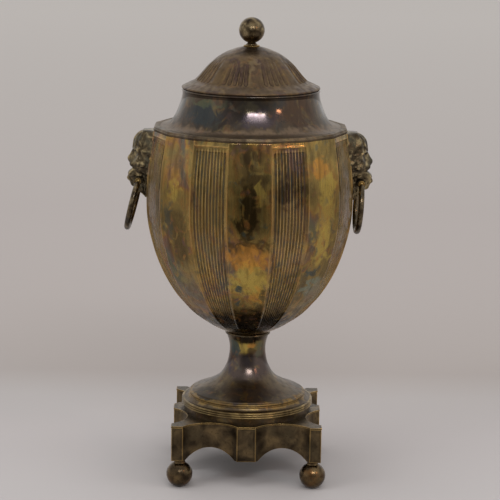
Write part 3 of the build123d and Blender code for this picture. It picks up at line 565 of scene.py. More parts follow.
# Tarnish of the neck, with painted highlight beside the lamp's reflection.
NECK_STAINS_AND_HIGHLIGHT = (
    ColourPatch((-50, -58, 402), (30, 30, 13), (52, 64, 70), 0.6),
    ColourPatch((-46, -60, 414), (34, 30, 5), (92, 98, 76), 0.5),
    # Painted highlight: pale patches beside the window's reflection.
    ColourPatch((-6, -74, 412), (16, 20, 6), (110, 104, 84), 0.45),
    ColourPatch((-16, -72, 412), (3, 20, 3), (150, 142, 122), 0.4),
    ColourPatch((-18, -76, 404), (20, 20, 16), (58, 54, 54), 0.6),
    ColourPatch((10, -78, 400), (24, 24, 12), (66, 60, 72), 0.5),
    ColourPatch((52, -56, 406), (28, 30, 22), (84, 66, 54), 0.7),
    ColourPatch((0, 0, 379), (400, 400, 12), (124, 106, 88), 0.8),
)

# Patches on the lid: a painted highlight streak down the front, with darker patches beside it.
LID_STAINS_AND_HIGHLIGHT = (
    ColourPatch((1, -40, 452), (6, 30, 17), (146, 128, 100), 0.32),
    ColourPatch((-12, -54, 446), (11, 30, 12), (72, 58, 56), 0.6),
    ColourPatch((13, -50, 450), (12, 30, 15), (78, 64, 58), 0.5),
    ColourPatch((-34, -46, 440), (16, 30, 14), (104, 84, 56), 0.4),
)

# Tarnish of the stem and foot, with painted light and shade among it.
STEM_STAINS_AND_PAINTED_LIGHT = (
    ColourPatch((0, -20, 120), (40, 40, 18), (66, 58, 66), 0.6),
    ColourPatch((-3, -22, 144), (30, 20, 8), OLIVE, 0.8),
    ColourPatch((-5, -21, 141), (8, 14, 9), STRAW, 0.8),
    ColourPatch((4, -21, 144), (6, 14, 4), ORANGE, 0.7),
    ColourPatch((4, -21, 137), (7, 12, 5), UMBER, 0.7),
    ColourPatch((-14, -14, 140), (6, 14, 12), SLATE, 0.8),
    ColourPatch((13, -15, 138), (5, 14, 10), (98, 102, 88), 0.6),
    # Painted shade: dark patch at the front of the stem's top, under the vessel.
    ColourPatch((0, -24, 152), (22, 18, 8), (32, 26, 19), 0.95),
    ColourPatch((0, -56, 96), (60, 40, 8), (76, 65, 60), 0.5),
    # Painted highlight on the foot's right, painted shade on its left.
    ColourPatch((52, -40, 93), (20, 30, 7), (104, 92, 76), 0.5),
    ColourPatch((-52, -40, 94), (30, 36, 10), (52, 45, 36), 0.8),
    # Painted shade: a darker ring in the recess under the reeded band. Painted highlight: a gold ring along
    # the bead.
    ColourPatch((0, 0, 76), (400, 400, 9), (84, 69, 48), 0.8),
    ColourPatch((0, 0, 86.6), (400, 400, 3), (140, 114, 66), 0.7),
)


FINISHES = {
    "body": TarnishedPlate("tarnished_body_painted_reflections", BODY_STAINS_AND_REFLECTIONS, rubbed_above=190.0),
    "neck": TarnishedPlate(
        "tarnished_neck_painted_highlight",
        NECK_STAINS_AND_HIGHLIGHT,
        shine=0.07,
        dullness=0.05,
        wobble=0.5,
        grain=0.003,
        dull_below=397.0,
        dulled_by=0.34,
        ragged=0.02,
        mottle=0.15,
        tones=(
            (0.32, (56, 50, 46)), (0.44, (76, 66, 56)), (0.54, (88, 76, 64)),
            (0.64, (70, 68, 66)), (0.76, (92, 78, 66)),
        ),
    ),
    "shoulder": TarnishedPlate(
        "tarnished_moulding",
        shine=0.4,
        wobble=0.2,
        mottle=0.2,
        tones=(
            (0.32, (72, 62, 52)), (0.44, (104, 90, 72)), (0.54, (122, 106, 84)),
            (0.64, (96, 88, 80)), (0.76, (126, 106, 80)),
        ),
    ),
    "lid": TarnishedPlate(
        "tarnished_lid_painted_highlight",
        LID_STAINS_AND_HIGHLIGHT,
        shine=0.32,
        sunk=0.4,
        mottle=0.15,
        tones=(
            (0.3, (66, 54, 45)), (0.42, (94, 78, 60)), (0.54, (112, 93, 70)),
            (0.62, (84, 68, 64)), (0.72, (116, 98, 66)),
        ),
        flute_dirt_and_shade=((0.4, (70, 57, 46)), (0.6, (80, 65, 61))),
        land=(128, 108, 76),
        crest=(156, 132, 92),
    ),
    "pedestal": TarnishedPlate(
        "tarnished_stem_painted_light",
        STEM_STAINS_AND_PAINTED_LIGHT,
        shine=0.12,
        dullness=0.08,
        grain=0.005,
        dull_below=112.0,
        ragged=0.012,
        mottle=0.2,
        tones=(
            (0.32, (66, 58, 52)), (0.44, (92, 80, 66)), (0.54, (108, 94, 74)),
            (0.64, (84, 78, 78)), (0.76, (120, 102, 74)),
        ),
    ),
    "band": Metal("foot_band", (82, 68, 46), (124, 105, 72), (162, 138, 92), (104, 92, 64), shine=0.28),
    "plinth": Metal("plinth", (54, 45, 34), (86, 73, 54), (116, 98, 70), (84, 74, 56), shine=0.32, pit=0.03),
    "border": Metal("plinth_borders", (70, 58, 40), (98, 82, 56), (128, 107, 72), (92, 80, 56)),
    "worn_edge": Metal("worn_edges", (124, 101, 62), (166, 136, 84), (192, 160, 104), (136, 116, 76)),
    # The balls' orange tint is a painted warm reflection, in random blots.
    "ball": Metal("balls", (50, 42, 32), (82, 68, 50), (112, 94, 66), (112, 80, 48), 9.0, 0.2, 0.12),
    "finial": Metal("finial", (40, 33, 25), (86, 74, 56), (140, 124, 94), (104, 88, 64), 7.0, 0.24, 0.12),
    # Its hollows get painted shade and its crests painted highlight, through worn.
    "cast": Metal(
        "cast_masks_painted_shading", (46, 39, 30), (88, 77, 59), (168, 150, 112), (80, 78, 66), 8.0, 0.27, pit=0.03, worn=1.0
    ),
    "ring": Metal("rings", (50, 42, 34), (86, 75, 58), (124, 110, 86), (78, 74, 66), 7.0, 0.22),
    "tinned": Metal("tinned", (110, 106, 100), (150, 146, 138), (176, 172, 162), (128, 118, 100)),
    "fixings": Metal("fixings", (84, 76, 62), (122, 112, 92), (160, 148, 122), (100, 92, 76)),
    "tap": Metal("tap", (84, 68, 42), (134, 110, 66), (172, 144, 92), (108, 96, 70), shine=0.26),
    "iron": Plain("scaled_iron", (42, 38, 36), (82, 70, 62), 6.0, (1, 1, 1), 0.6, 0.25, 0.6),
    "leather": Plain("leather", (58, 38, 26), (92, 62, 42), 1.2, (1, 1, 1), 0.6, 0.08),
    "wood": Plain("ebonised_wood", (24, 17, 13), (52, 36, 26), 1.6, (0.08, 1, 1), 0.32, 0.03),
}


# Meshes


def to_mesh(
    name: str, points: Sequence[Point], faces: Sequence[Sequence[int]], angle: float = SHARP_ANGLE
) -> Mesh:
    """A closed mesh from points in millimetres, its faces turned outwards.

    Args:
        name: the mesh's name.
        points: its corners.
        faces: corner numbers of each face.
        angle: edges that turn more than this many degrees stay sharp.

    Returns:
        The mesh, in metres.
    """
    mesh = bpy.data.meshes.new(name)
    mesh.from_pydata([(x * MM, y * MM, z * MM) for x, y, z in points], [], faces)
    work = bmesh.new()
    work.from_mesh(mesh)
    bmesh.ops.remove_doubles(work, verts=work.verts, dist=WELD * MM)
    bmesh.ops.dissolve_degenerate(work, edges=work.edges, dist=SLIVER * MM)
    if work.calc_volume(signed=True) < 0:
        bmesh.ops.reverse_faces(work, faces=work.faces)
    work.to_mesh(mesh)
    work.free()
    mesh.shade_smooth()
    mesh.set_sharp_from_angle(angle=math.radians(angle))
    return mesh


def add_object(name: str, mesh: Mesh, *materials: Material) -> Piece:
    """Puts a mesh in the scene as a piece, with its materials."""
    piece = bpy.data.objects.new(name, mesh)
    bpy.context.scene.collection.objects.link(piece)
    mesh.materials.clear()
    for material in materials:
        mesh.materials.append(material)
    return piece


def baked(piece: Piece) -> Piece:
    """Turns a piece's modifiers into its own mesh."""
    bpy.context.view_layer.update()
    mesh = bpy.data.meshes.new_from_object(piece.evaluated_get(bpy.context.evaluated_depsgraph_get()))
    mesh.name = piece.name
    piece.modifiers.clear()
    piece.data = mesh
    return piece


def rounded_edges(
    piece: Piece, width: float, edge_slot: int = 0, rounding: Rounding = Rounding.SOFT
) -> Piece:
    """Rounds a piece's edges.

    Args:
        piece: the piece.
        width: the rounding's width in millimetres.
        edge_slot: the material slot that the rounded edges take.
        rounding: which edges, and how the faces look.

    Returns:
        The piece, with plain mesh.
    """
    bevel = piece.modifiers.new("edges", "BEVEL")
    bevel.width = width * MM
    bevel.segments = 2
    bevel.limit_method = "WEIGHT" if rounding is Rounding.MARKED else "ANGLE"
    bevel.angle_limit = math.radians(BEVEL_ANGLE)
    bevel.harden_normals = False
    bevel.material = edge_slot
    if rounding is Rounding.MARKED:
        baked(piece).data.set_sharp_from_angle(angle=math.radians(SHARP_ANGLE))
        return piece
    piece.modifiers.new("normals", "WEIGHTED_NORMAL").keep_sharp = False
    return baked(piece)


def smooth_run(points: Sequence[Corner], parts: int = 5) -> list[Corner]:
    """A smooth line through corners of an outline.

    Args:
        points: the corners, as (radius, height).
        parts: how many pieces each stretch is cut into.

    Returns:
        The line's points, ends included.
    """
    line = []
    for index in range(len(points) - 1):
        before = Vector(points[max(index - 1, 0)])
        start = Vector(points[index])
        end = Vector(points[index + 1])
        after = Vector(points[min(index + 2, len(points) - 1)])
        length = (end - start).length
        leave = (end - before) / max((end - start).length + (start - before).length, 1e-6) * length
        reach = (after - start) / max((end - start).length + (after - end).length, 1e-6) * length
        for part in range(parts):
            share = part / parts
            square = share * share
            cube = square * share
            spot = (
                start * (2 * cube - 3 * square + 1)
                + leave * (cube - 2 * square + share)
                + end * (3 * square - 2 * cube)
                + reach * (cube - square)
            )
            line.append((spot.x, spot.y))
    line.append(tuple(points[-1]))
    return line


def raised(outline: Sequence[Corner], base: float) -> list[Corner]:
    """An outline lifted by a height."""
    return [(radius, base + height) for radius, height in outline]


def arc(middle: Corner, radius: float, start: float, end: float, parts: int = 8) -> list[Corner]:
    """Points of an arc in an outline, from one angle in degrees to another."""
    points = []
    for part in range(parts + 1):
        turn = math.radians(start + (end - start) * part / parts)
        points.append((middle[0] + radius * math.cos(turn), middle[1] + radius * math.sin(turn)))
    return points


def lathe(name: str, outline: Sequence[Corner], count: int = 160) -> Mesh:
    """A turned piece.

    Args:
        name: the mesh's name.
        outline: its closed outline as (radius, height), which may start and end on the axis.
        count: how many steps go round.

    Returns:
        The mesh.
    """
    points = []
    for step in range(count):
        turn = 2 * math.pi * step / count
        for radius, height in outline:
            points.append((radius * math.cos(turn), radius * math.sin(turn), height))
    faces = []
    size = len(outline)
    open_ends = outline[0][0] == 0 and outline[-1][0] == 0
    for step in range(count):
        here = step * size
        there = (step + 1) % count * size
        for index in range(size - 1 if open_ends else size):
            after = (index + 1) % size
            faces.append((here + index, there + index, there + after, here + after))
    return to_mesh(name, points, faces)


def moved(mesh: Mesh, x: float = 0.0, y: float = 0.0, z: float = 0.0, turn: float = 0.0) -> Mesh:
    """A mesh shifted in millimetres after a turn about the urn's axis in degrees."""
    mesh.transform(Matrix.Translation((x * MM, y * MM, z * MM)) @ Matrix.Rotation(math.radians(turn), 4, "Z"))
    return mesh


def settle(piece: Piece, body: Body, node: str) -> None:
    """Hands a finished piece to the frame: the body it rides on and the node it stands for."""
    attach(piece, body.value)
    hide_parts(node)
    LOG.info("%s, %d faces, rides on %s", piece.name, len(piece.data.polygons), body.value)


def turned(
    name: str,
    outline: Sequence[Corner],
    finish: Material,
    body: Body,
    node: str,
    count: int = 160,
) -> None:
    """Makes a turned piece from its outline and hands it to the frame.

    Args:
        name: the piece's name.
        outline: its closed outline as (radius, height).
        finish: its material.
        body: the body it rides on.
        node: the CAD node it stands for.
        count: how many steps go round.
    """
    settle(add_object(name, lathe(name, outline, count), finish), body, node)


class RoundTheAxis(Nodes):
    """A Geometry Nodes tree that repeats one sector round the urn's axis, welds it and dents it a little."""

    weld: float = 0.01

    def __init__(self) -> None:
        """Builds the tree."""
        super().__init__(bpy.data.node_groups.new("round_the_axis", "GeometryNodeTree"))
        face = self.tree.interface
        face.new_socket("Sector", in_out="INPUT", socket_type="NodeSocketGeometry")
        self.inputs = {}
        for label, kind in (
            ("Count", "NodeSocketInt"),
            ("First turn", "NodeSocketFloat"),
            ("Dent depth", "NodeSocketFloat"),
            ("Dent size", "NodeSocketFloat"),
            ("Seed", "NodeSocketFloat"),
            ("Finish", "NodeSocketMaterial"),
        ):
            self.inputs[label] = face.new_socket(label, in_out="INPUT", socket_type=kind).identifier
        face.new_socket("Piece", in_out="OUTPUT", socket_type="NodeSocketGeometry")
        self.wire()

    def wire(self) -> None:
        """Joins the nodes: points, instances, weld, dents, material."""
        given = self.add("NodeGroupInput").outputs
        spots = self.add("GeometryNodePoints", {"Count": given["Count"]}).outputs[0]
        step = self.sum("DIVIDE", 2 * math.pi, given["Count"])
        turn = self.times(self.add("GeometryNodeInputIndex").outputs[0], step)
        spin = self.add("ShaderNodeCombineXYZ", {2: self.sum("ADD", turn, given["First turn"])}).outputs[0]
        copies = {"Points": spots, "Instance": given["Sector"], "Rotation": spin}
        copies = self.add("GeometryNodeInstanceOnPoints", copies).outputs[0]
        real = self.add("GeometryNodeRealizeInstances", {0: copies}).outputs[0]
        weld = {"Geometry": real, "Distance": self.weld * MM}
        weld = self.add("GeometryNodeMergeByDistance", weld).outputs[0]
        dents = {"Scale": given["Dent size"], "W": given["Seed"], "Detail": 1.0}
        dents = self.add("ShaderNodeTexNoise", dents, noise_dimensions="4D").outputs[0]
        level = self.times(self.sum("SUBTRACT", dents, 0.5), given["Dent depth"])
        place = self.add("GeometryNodeInputPosition").outputs[0]
        outward = self.vector("NORMALIZE", {0: self.vector("MULTIPLY", {0: place, 1: (1.0, 1.0, 0.0)})})
        along = self.vector("SCALE", {0: outward, "Scale": level})
        bend = self.add("GeometryNodeSetPosition", {"Geometry": weld, "Offset": along}).outputs[0]
        dress = self.add("GeometryNodeSetMaterial", {"Geometry": bend, "Material": given["Finish"]})
        self.add("NodeGroupOutput", {0: dress.outputs[0]})

    def repeat(
        self,
        sector: Mesh,
        count: int,
        turn: float,
        finish: Material,
        dent: float = 0.0,
        size: float = 60.0,
        seed: float = 1.0,
    ) -> Piece:
        """Makes a piece from one of its sectors.

        Args:
            sector: the sector's mesh.
            count: how many go round.
            turn: where the first one stands, in degrees.
            finish: the piece's material.
            dent: depth of the dents in millimetres.
            size: width of the dents in millimetres.
            seed: which dents.

        Returns:
            The piece, with plain mesh.
        """
        piece = add_object(sector.name, sector)
        modifier = piece.modifiers.new("round", "NODES")
        modifier.node_group = self.tree
        values = {
            "Count": count,
            "First turn": math.radians(turn),
            "Dent depth": dent * MM,
            "Dent size": 1 / (size * MM),
            "Seed": seed,
            "Finish": finish,
        }
        for label, value in values.items():
            modifier[self.inputs[label]] = value
        baked(piece)
        piece.data.materials.clear()
        piece.data.materials.append(finish)
        for face in piece.data.polygons:
            face.material_index = 0
        return piece


def ring_mesh(
    name: str,
    rows: Sequence[Sequence[Point]],
    relief: Optional[Sequence[Sequence[float]]] = None,
    creases: Sequence[int] = (),
    loop: bool = False,
) -> Mesh:
    """A mesh from rows of points of one length, such as a sector of a shell.

    Args:
        name: the mesh's name.
        rows: the rows, each from one side of the sector to the other.
        relief: how far each point stands above its panel, kept as an attribute.
        creases: columns whose edges stay sharp.
        loop: whether the last row joins the first.

    Returns:
        The mesh, in metres.
    """
    size = len(rows[0])
    points = [tuple(value * MM for value in point) for row in rows for point in row]
    faces = []
    for row in range(len(rows) if loop else len(rows) - 1):
        after = (row + 1) % len(rows)
        for column in range(size - 1):
            low = row * size + column
            high = after * size + column
            faces.append((low, low + 1, high + 1, high))
    mesh = bpy.data.meshes.new(name)
    mesh.from_pydata(points, [], faces)
    mesh.shade_smooth()
    if relief is not None:
        level = mesh.attributes.new("relief", "FLOAT", "POINT")
        level.data.foreach_set("value", [value for row in relief for value in row])
    if creases:
        sharp = mesh.attributes.new("sharp_edge", "BOOLEAN", "EDGE")
        marked = set(creases)
        for edge in mesh.edges:
            first, second = edge.vertices
            if first % size == second % size and first % size in marked:
                sharp.data[edge.index].value = True
    return mesh


# Vessel, shoulder and neck


@dataclass
class Vessel:
    """The sixteen-sided vessel, its shoulder moulding, and the round shoulder, neck and rim."""

    bottom: float = 156.5
    height: float = 222.3
    level_wall: float = 1.872
    floor: float = 168.0
    inner_rows: int = 14
    spigot_hole: float = 17.1
    spigot_depth: float = 4.5
    panels: int = 16
    half_panel: float = math.radians(11.25)
    flutes: int = 10
    flute_zone: float = 0.82
    flute_opening: float = 0.66
    flute_depth: float = 1.0
    full_depth_at: float = 110.0
    flute_top: float = 369.2
    flute_start: float = 166.0
    flute_run: float = 14.0
    bead_place: float = 0.945
    bead_width: float = 0.05
    bead_height: float = 0.45
    bead_start: float = 164.0
    bead_run: float = 16.0
    land_mark: float = 0.06
    line_height: float = 374.2
    line_rise: float = 0.4
    line_half_width: float = 0.9
    edge_columns: tuple[float, ...] = (-1.0, -0.975)
    bead_columns: tuple[float, ...] = (-1.0, -0.6, -0.25, 0.0, 0.25, 0.6, 1.0)
    plain_columns: tuple[float, ...] = (-1.0, -0.97, -0.7, -0.35, 0.0, 0.35, 0.7, 0.97, 1.0)
    moulding_columns: tuple[float, ...] = (-1.0, -0.96, -0.5, 0.0, 0.5, 0.96, 1.0)
    foot_levels: tuple[float, ...] = (0.0, 1.5, 4.0, 7.5, 11.0)
    wall_rows: int = 50
    end_levels: tuple[float, ...] = (2.4, 1.7, 1.2, 0.8, 0.45, 0.2, 0.05)
    line_levels: tuple[float, ...] = (-1.6, -0.9, -0.5, 0.0, 0.5, 0.9)
    top_level: float = 0.8
    curve: tuple[Corner, ...] = (
        (23.8, 0.0), (31.5, 4.1), (40.5, 8.7), (50.8, 15.5), (60.3, 23.5), (69.4, 33.5),
        (77.7, 43.5), (87.2, 58.5), (94.7, 73.5), (100.5, 88.5), (105.4, 105.5), (108.3, 118.5),
        (110.3, 133.5), (110.9, 151.5), (110.4, 168.5), (108.6, 188.5), (106.4, 203.5),
        (104.7, 214.5), (103.5, 222.3),
    )
    moulding_face: tuple[Corner, ...] = (
        (103.4, 378.85), (102.7, 379.6), (103.6, 380.3), (103.9, 380.8), (103.8, 381.4),
        (103.1, 381.8), (102.7, 382.2), (102.9, 382.8), (102.4, 383.3), (101.6, 383.4),
    )
    moulding_ledge: tuple[Corner, ...] = ((97.5, 383.7), (97.5, 382.2), (90.0, 382.2), (90.0, 380.4))
    moulding_back: tuple[Corner, ...] = ((100.4, 380.4), (100.4, 375.9), (101.5, 375.9), (101.5, 378.85))
    neck: tuple[Corner, ...] = (
        (97.4, 383.75), (93.5, 384.1), (88.3, 386.1), (83.9, 390.8), (80.9, 395.8),
        (78.6, 401.0), (76.4, 407.0), (74.7, 413.0), (73.9, 418.0), (73.8, 421.0),
    )
    neck_wall: Corner = (1.5, 0.3)
    neck_seat: tuple[Corner, ...] = ((93.0, 382.3), (97.4, 382.3))
    neck_inner_radius: float = 93.6
    neck_mouth: Corner = (72.3, 421.0)
    rim_foot: Corner = (72.4, 421.05)
    rim_top: Corner = (72.4, 423.5)
    rim_middle: Corner = (73.3, 422.3)
    rim_radius: float = 1.3
    line: list[Corner] = field(default_factory=list)

    def __post_init__(self) -> None:
        """Works out the smooth outline once."""
        self.line = smooth_run(raised(self.curve, self.bottom), parts=8)

    def apothem(self, height: float) -> float:
        """How far a panel's face stands from the axis at a height."""
        for low, high in zip(self.line, self.line[1:]):
            if low[1] <= height <= high[1]:
                return low[0] + (high[0] - low[0]) * (height - low[1]) / (high[1] - low[1])
        return self.line[-1][0] if height > self.bottom else self.line[0][0]

    def face_at(self, side: float, height: float) -> float:
        """Distance from the axis plane of the +X panels' surface, at a place to the side."""
        apothem = self.apothem(height)
        beyond = abs(side) - apothem * math.tan(self.half_panel)
        return apothem - max(beyond, 0.0) * math.tan(2 * self.half_panel)

    def relief(self, across: float, height: float, apothem: float) -> float:
        """How far a fluted panel's surface stands above its plane.

        Args:
            across: place across the panel, -1 to 1.
            height: height above the floor.
            apothem: how far the panel stands from the axis there.

        Returns:
            Millimetres, below zero in a flute.
        """
        away = abs(across)
        bead = self.bead_height * hump((away - self.bead_place) / self.bead_width)
        if away < self.bead_place:
            bead = max(bead, self.line_rise * hump((height - self.line_height) / self.line_half_width))
        bead *= smooth_step((height - self.bead_start) / self.bead_run)
        if away >= self.flute_zone or height >= self.flute_top:
            return bead
        pitch = 2 * self.flute_zone / self.flutes
        half = apothem * math.tan(self.half_panel) * pitch * self.flute_opening / 2
        along = across + self.flute_zone
        deep = flute_depth(along, pitch, self.flute_opening, self.flute_top - height, half)
        if deep == 0:
            return bead
        fade = smooth_step((height - self.flute_start) / self.flute_run)
        return -self.flute_depth * apothem / self.full_depth_at * fade * deep

    def mark(self, across: float, height: float, rise: float) -> float:
        """The relief as the finish reads it, with the lands between flutes told from plain plate."""
        between = abs(across) < self.flute_zone and height < self.flute_top and abs(rise) < FLAT
        return self.land_mark if between else rise

    def columns(self) -> list[float]:
        """Places across a fluted panel where the mesh has a column."""
        beads = [share * self.bead_width - self.bead_place for share in self.bead_columns]
        side = [*self.edge_columns, *beads]
        pitch = 2 * self.flute_zone / self.flutes
        half = pitch * self.flute_opening / 2
        middles = flute_middles(self.flutes, pitch)
        flutes = [middle + share * half for middle in middles for share in ACROSS_FLUTE]
        return sorted({*side, *flutes, *(-place for place in side)})

    def heights(self) -> list[float]:
        """Levels of the mesh, close together where the flutes end."""
        low = self.bottom + self.foot_levels[-1]
        high = self.flute_top - self.end_levels[0]
        levels = [self.bottom + rise for rise in self.foot_levels[:-1]]
        levels += [low + (high - low) * row / self.wall_rows for row in range(self.wall_rows + 1)]
        levels += [self.flute_top - drop for drop in self.end_levels[1:]]
        levels += [self.line_height + rise for rise in self.line_levels]
        top = self.bottom + self.height
        return levels + [top - self.top_level, top]

    def sector(self) -> Mesh:
        """One fluted and one plain panel as a closed shell between two planes through the axis."""
        spots = [(-2 * self.half_panel, place, False) for place in self.plain_columns[:-1]]
        spots += [(0.0, place, True) for place in self.columns()]
        spread = math.tan(self.half_panel)

        def row(
            height: float, apothem: float, carved: bool, radius: Optional[float] = None
        ) -> tuple[list, list]:
            """Points of one level and their relief, on a circle where a radius is given."""
            points = []
            levels = []
            for turn, place, has_flutes in spots:
                rise = self.relief(place, height, apothem) if carved and has_flutes else 0.0
                out = apothem + rise
                side = place * apothem * spread
                x = out * math.cos(turn) - side * math.sin(turn)
                y = out * math.sin(turn) + side * math.cos(turn)
                if radius is not None:
                    scale = radius / math.hypot(x, y)
                    x, y = x * scale, y * scale
                points.append((x, y, height))
                levels.append(self.mark(place, height, rise) if carved and has_flutes else 0.0)
            return points, levels

        flat = [0.0] * len(spots)
        roof = self.bottom + self.spigot_depth
        top = self.bottom + self.height
        rows = [([(0.0, 0.0, roof)] * len(spots), flat)]
        rows += [row(height, self.spigot_hole, False, self.spigot_hole) for height in (roof, self.bottom)]
        rows += [row(height, self.apothem(height), True) for height in self.heights()]
        for step in range(self.inner_rows + 1):
            height = top - (top - self.floor) * step / self.inner_rows
            rows.append(row(height, self.apothem(height) - self.level_wall, False))
        rows.append(([(0.0, 0.0, self.floor)] * len(spots), flat))
        creases = (len(self.plain_columns) - 1,)
        return ring_mesh("vessel", [item[0] for item in rows], [item[1] for item in rows], creases)

    def moulding_sector(self) -> Mesh:
        """One of the sixteen straight lengths of the shoulder moulding."""
        turns = [place * self.half_panel for place in self.moulding_columns]
        spread = math.tan(self.half_panel)

        def panelled(outline: Sequence[Corner]) -> list[list[Point]]:
            """Flat lengths along an outline's corners."""
            rows = []
            for out, height in outline:
                rows.append([(out, place * out * spread, height) for place in self.moulding_columns])
            return rows

        ledge = []
        for out, height in self.moulding_ledge:
            ledge.append([(out * math.cos(turn), out * math.sin(turn), height) for turn in turns])
        rows = [*panelled(self.moulding_face), *ledge, *panelled(self.moulding_back)]
        return ring_mesh("shoulder_moulding_plate", rows, loop=True, creases=(0,))

    def build(self, palette: Palette, repeater: RoundTheAxis) -> None:
        """Makes and dresses the pieces."""
        pairs = self.panels // 2
        first = math.degrees(2 * self.half_panel)
        body = repeater.repeat(self.sector(), pairs, first, palette["body"], dent=0.3, size=55.0, seed=3.0)
        settle(body, Body.ROOT, "vessel_body")
        moulding = repeater.repeat(self.moulding_sector(), self.panels, 0.0, palette["shoulder"])
        settle(moulding, Body.ROOT, "shoulder_moulding")
        finish = palette["neck"]
        neck = smooth_run(self.neck)
        wall, drop = self.neck_wall
        inside = [(out - wall, height - drop) for out, height in neck if out < self.neck_inner_radius]
        inside[-1] = self.neck_mouth
        outline = [*self.neck_seat, *neck, *reversed(inside)]
        turned("neck", outline, finish, Body.ROOT, "shoulder_neck", count=192)
        rim = [self.rim_foot, *arc(self.rim_middle, self.rim_radius, -50, 90), self.rim_top]
        turned("mouth_rim", rim, finish, Body.ROOT, "neck_rim")


# Lid and finial


@dataclass
class Lid:
    """The domed lid with eight groups of flutes, its sleeve, collar and ball finial."""

    bottom: float = 423.9
    wall: float = 1.4
    wall_inset: float = 1.05
    first_turn: float = -62.3
    groups: int = 8
    flutes: int = 5
    pitch: float = math.radians(5.9)
    flute_opening: float = 0.84
    flute_depth: float = 1.5
    full_depth_at: float = 56.0
    flute_low: float = 432.6
    flute_high: float = 459.0
    flute_run: float = 15.0
    sunk_out: float = 0.75
    sunk_down: float = 0.66
    relief_share: float = 0.6
    land_mark: float = 0.06
    land_end: float = 453.0
    dome_height: float = 45.0
    edge: tuple[Corner, ...] = ((72.6, 0.0), (74.0, 0.2), (74.4, 1.0))
    curve: tuple[Corner, ...] = (
        (74.0, 1.9), (67.0, 5.3), (61.5, 7.9), (58.8, 10.3), (55.5, 13.8), (50.5, 19.8),
        (45.2, 25.8), (38.3, 31.8), (31.1, 36.8), (19.7, 41.8), (9.0, 45.0),
    )
    sleeve: tuple[Corner, ...] = ((70.6, 412.0), (71.8, 412.0), (71.8, 425.0), (70.6, 425.4))
    sleeve_edge: float = 0.2
    screw: tuple[Corner, ...] = ((0.0, -9.4), (2.0, -9.4), (2.0, 2.0), (6.0, 2.0))
    waist: tuple[Corner, ...] = ((6.0, 2.1), (5.0, 3.4), (4.4, 3.8), (4.72, 4.33))
    collar_foot: tuple[Corner, ...] = ((2.2, 0.02), (8.5, 0.02))
    collar_top: tuple[Corner, ...] = ((6.2, 1.95), (2.2, 1.95))
    collar_middle: Corner = (8.1, 0.7)
    collar_radius: float = 0.6
    ball_radius: float = 13.8
    ball_height: float = 486.2

    def relief(self, angle: float, height: float, radius: float) -> float:
        """How deep the lid's surface lies in a flute, as a number below zero."""
        reach = self.flutes * self.pitch / 2
        if abs(angle) >= reach or not self.flute_low < height < self.flute_high:
            return 0.0
        half = radius * self.pitch * self.flute_opening / 2
        deep = flute_depth(angle + reach, self.pitch, self.flute_opening, height - self.flute_low, half)
        fade = smooth_step((self.flute_high - height) / self.flute_run)
        return -self.flute_depth * radius / self.full_depth_at * fade * deep

    def sector(self) -> Mesh:
        """One group of flutes and the plain strip beside it."""
        reach = self.flutes * self.pitch / 2
        half = self.flute_opening * self.pitch / 2
        middles = flute_middles(self.flutes, self.pitch)
        edge = math.pi / self.groups
        between = 0.5 * (edge + reach)
        angles = [middle + share * half for middle in middles for share in ACROSS_FLUTE]
        angles = [-edge, -between, *angles, between, edge]
        outer = smooth_run(raised(self.curve, self.bottom), parts=7)
        inner = [(radius - self.wall_inset, height - self.wall_inset) for radius, height in outer]
        brim = raised(self.edge, self.bottom)
        top = self.bottom + self.dome_height
        outline = [(0.0, top), *reversed(outer), *reversed(brim), *inner[1:], (0.0, top - self.wall)]
        rows = []
        levels = []
        for index, (radius, height) in enumerate(outline):
            row = []
            level = []
            is_outside = index <= len(outer)
            is_land_height = self.flute_low < height < self.land_end
            for angle in angles:
                rise = self.relief(angle, height, radius) if is_outside else 0.0
                out = max(radius + rise * self.sunk_out, 0.0)
                row.append((out * math.cos(angle), out * math.sin(angle), height + rise * self.sunk_down))
                is_land = is_outside and is_land_height and abs(angle) < reach and rise > -FLAT
                level.append(self.land_mark if is_land else rise * self.relief_share)
            rows.append(row)
            levels.append(level)
        return ring_mesh("lid_dome", rows, levels)

    def build(self, palette: Palette, repeater: RoundTheAxis) -> None:
        """Makes and dresses the pieces."""
        finish = palette["lid"]
        turn = self.first_turn
        dome = repeater.repeat(self.sector(), self.groups, turn, finish, dent=0.8, size=40.0, seed=6.0)
        settle(dome, Body.LID, "lid")
        sleeve = add_object("lid_sleeve", lathe("lid_sleeve", self.sleeve), finish)
        settle(rounded_edges(sleeve, self.sleeve_edge), Body.LID, "lid_bezel")
        seat = self.bottom + self.dome_height
        ball = arc((0.0, self.ball_height), self.ball_radius, -70, 90, parts=28)
        ball[-1] = (0.0, self.ball_height + self.ball_radius)
        foot = raised([*self.screw, *smooth_run(self.waist, parts=4)], seat)
        turned("ball_finial", foot + ball[1:], palette["finial"], Body.LID, "finial", count=96)
        ring = arc(self.collar_middle, self.collar_radius, -20, 80, parts=4)
        collar = raised([*self.collar_foot, *ring, *self.collar_top], seat)
        turned("finial_seat", collar, palette["worn_edge"], Body.LID, "finial_collar", count=96)


# Pedestal


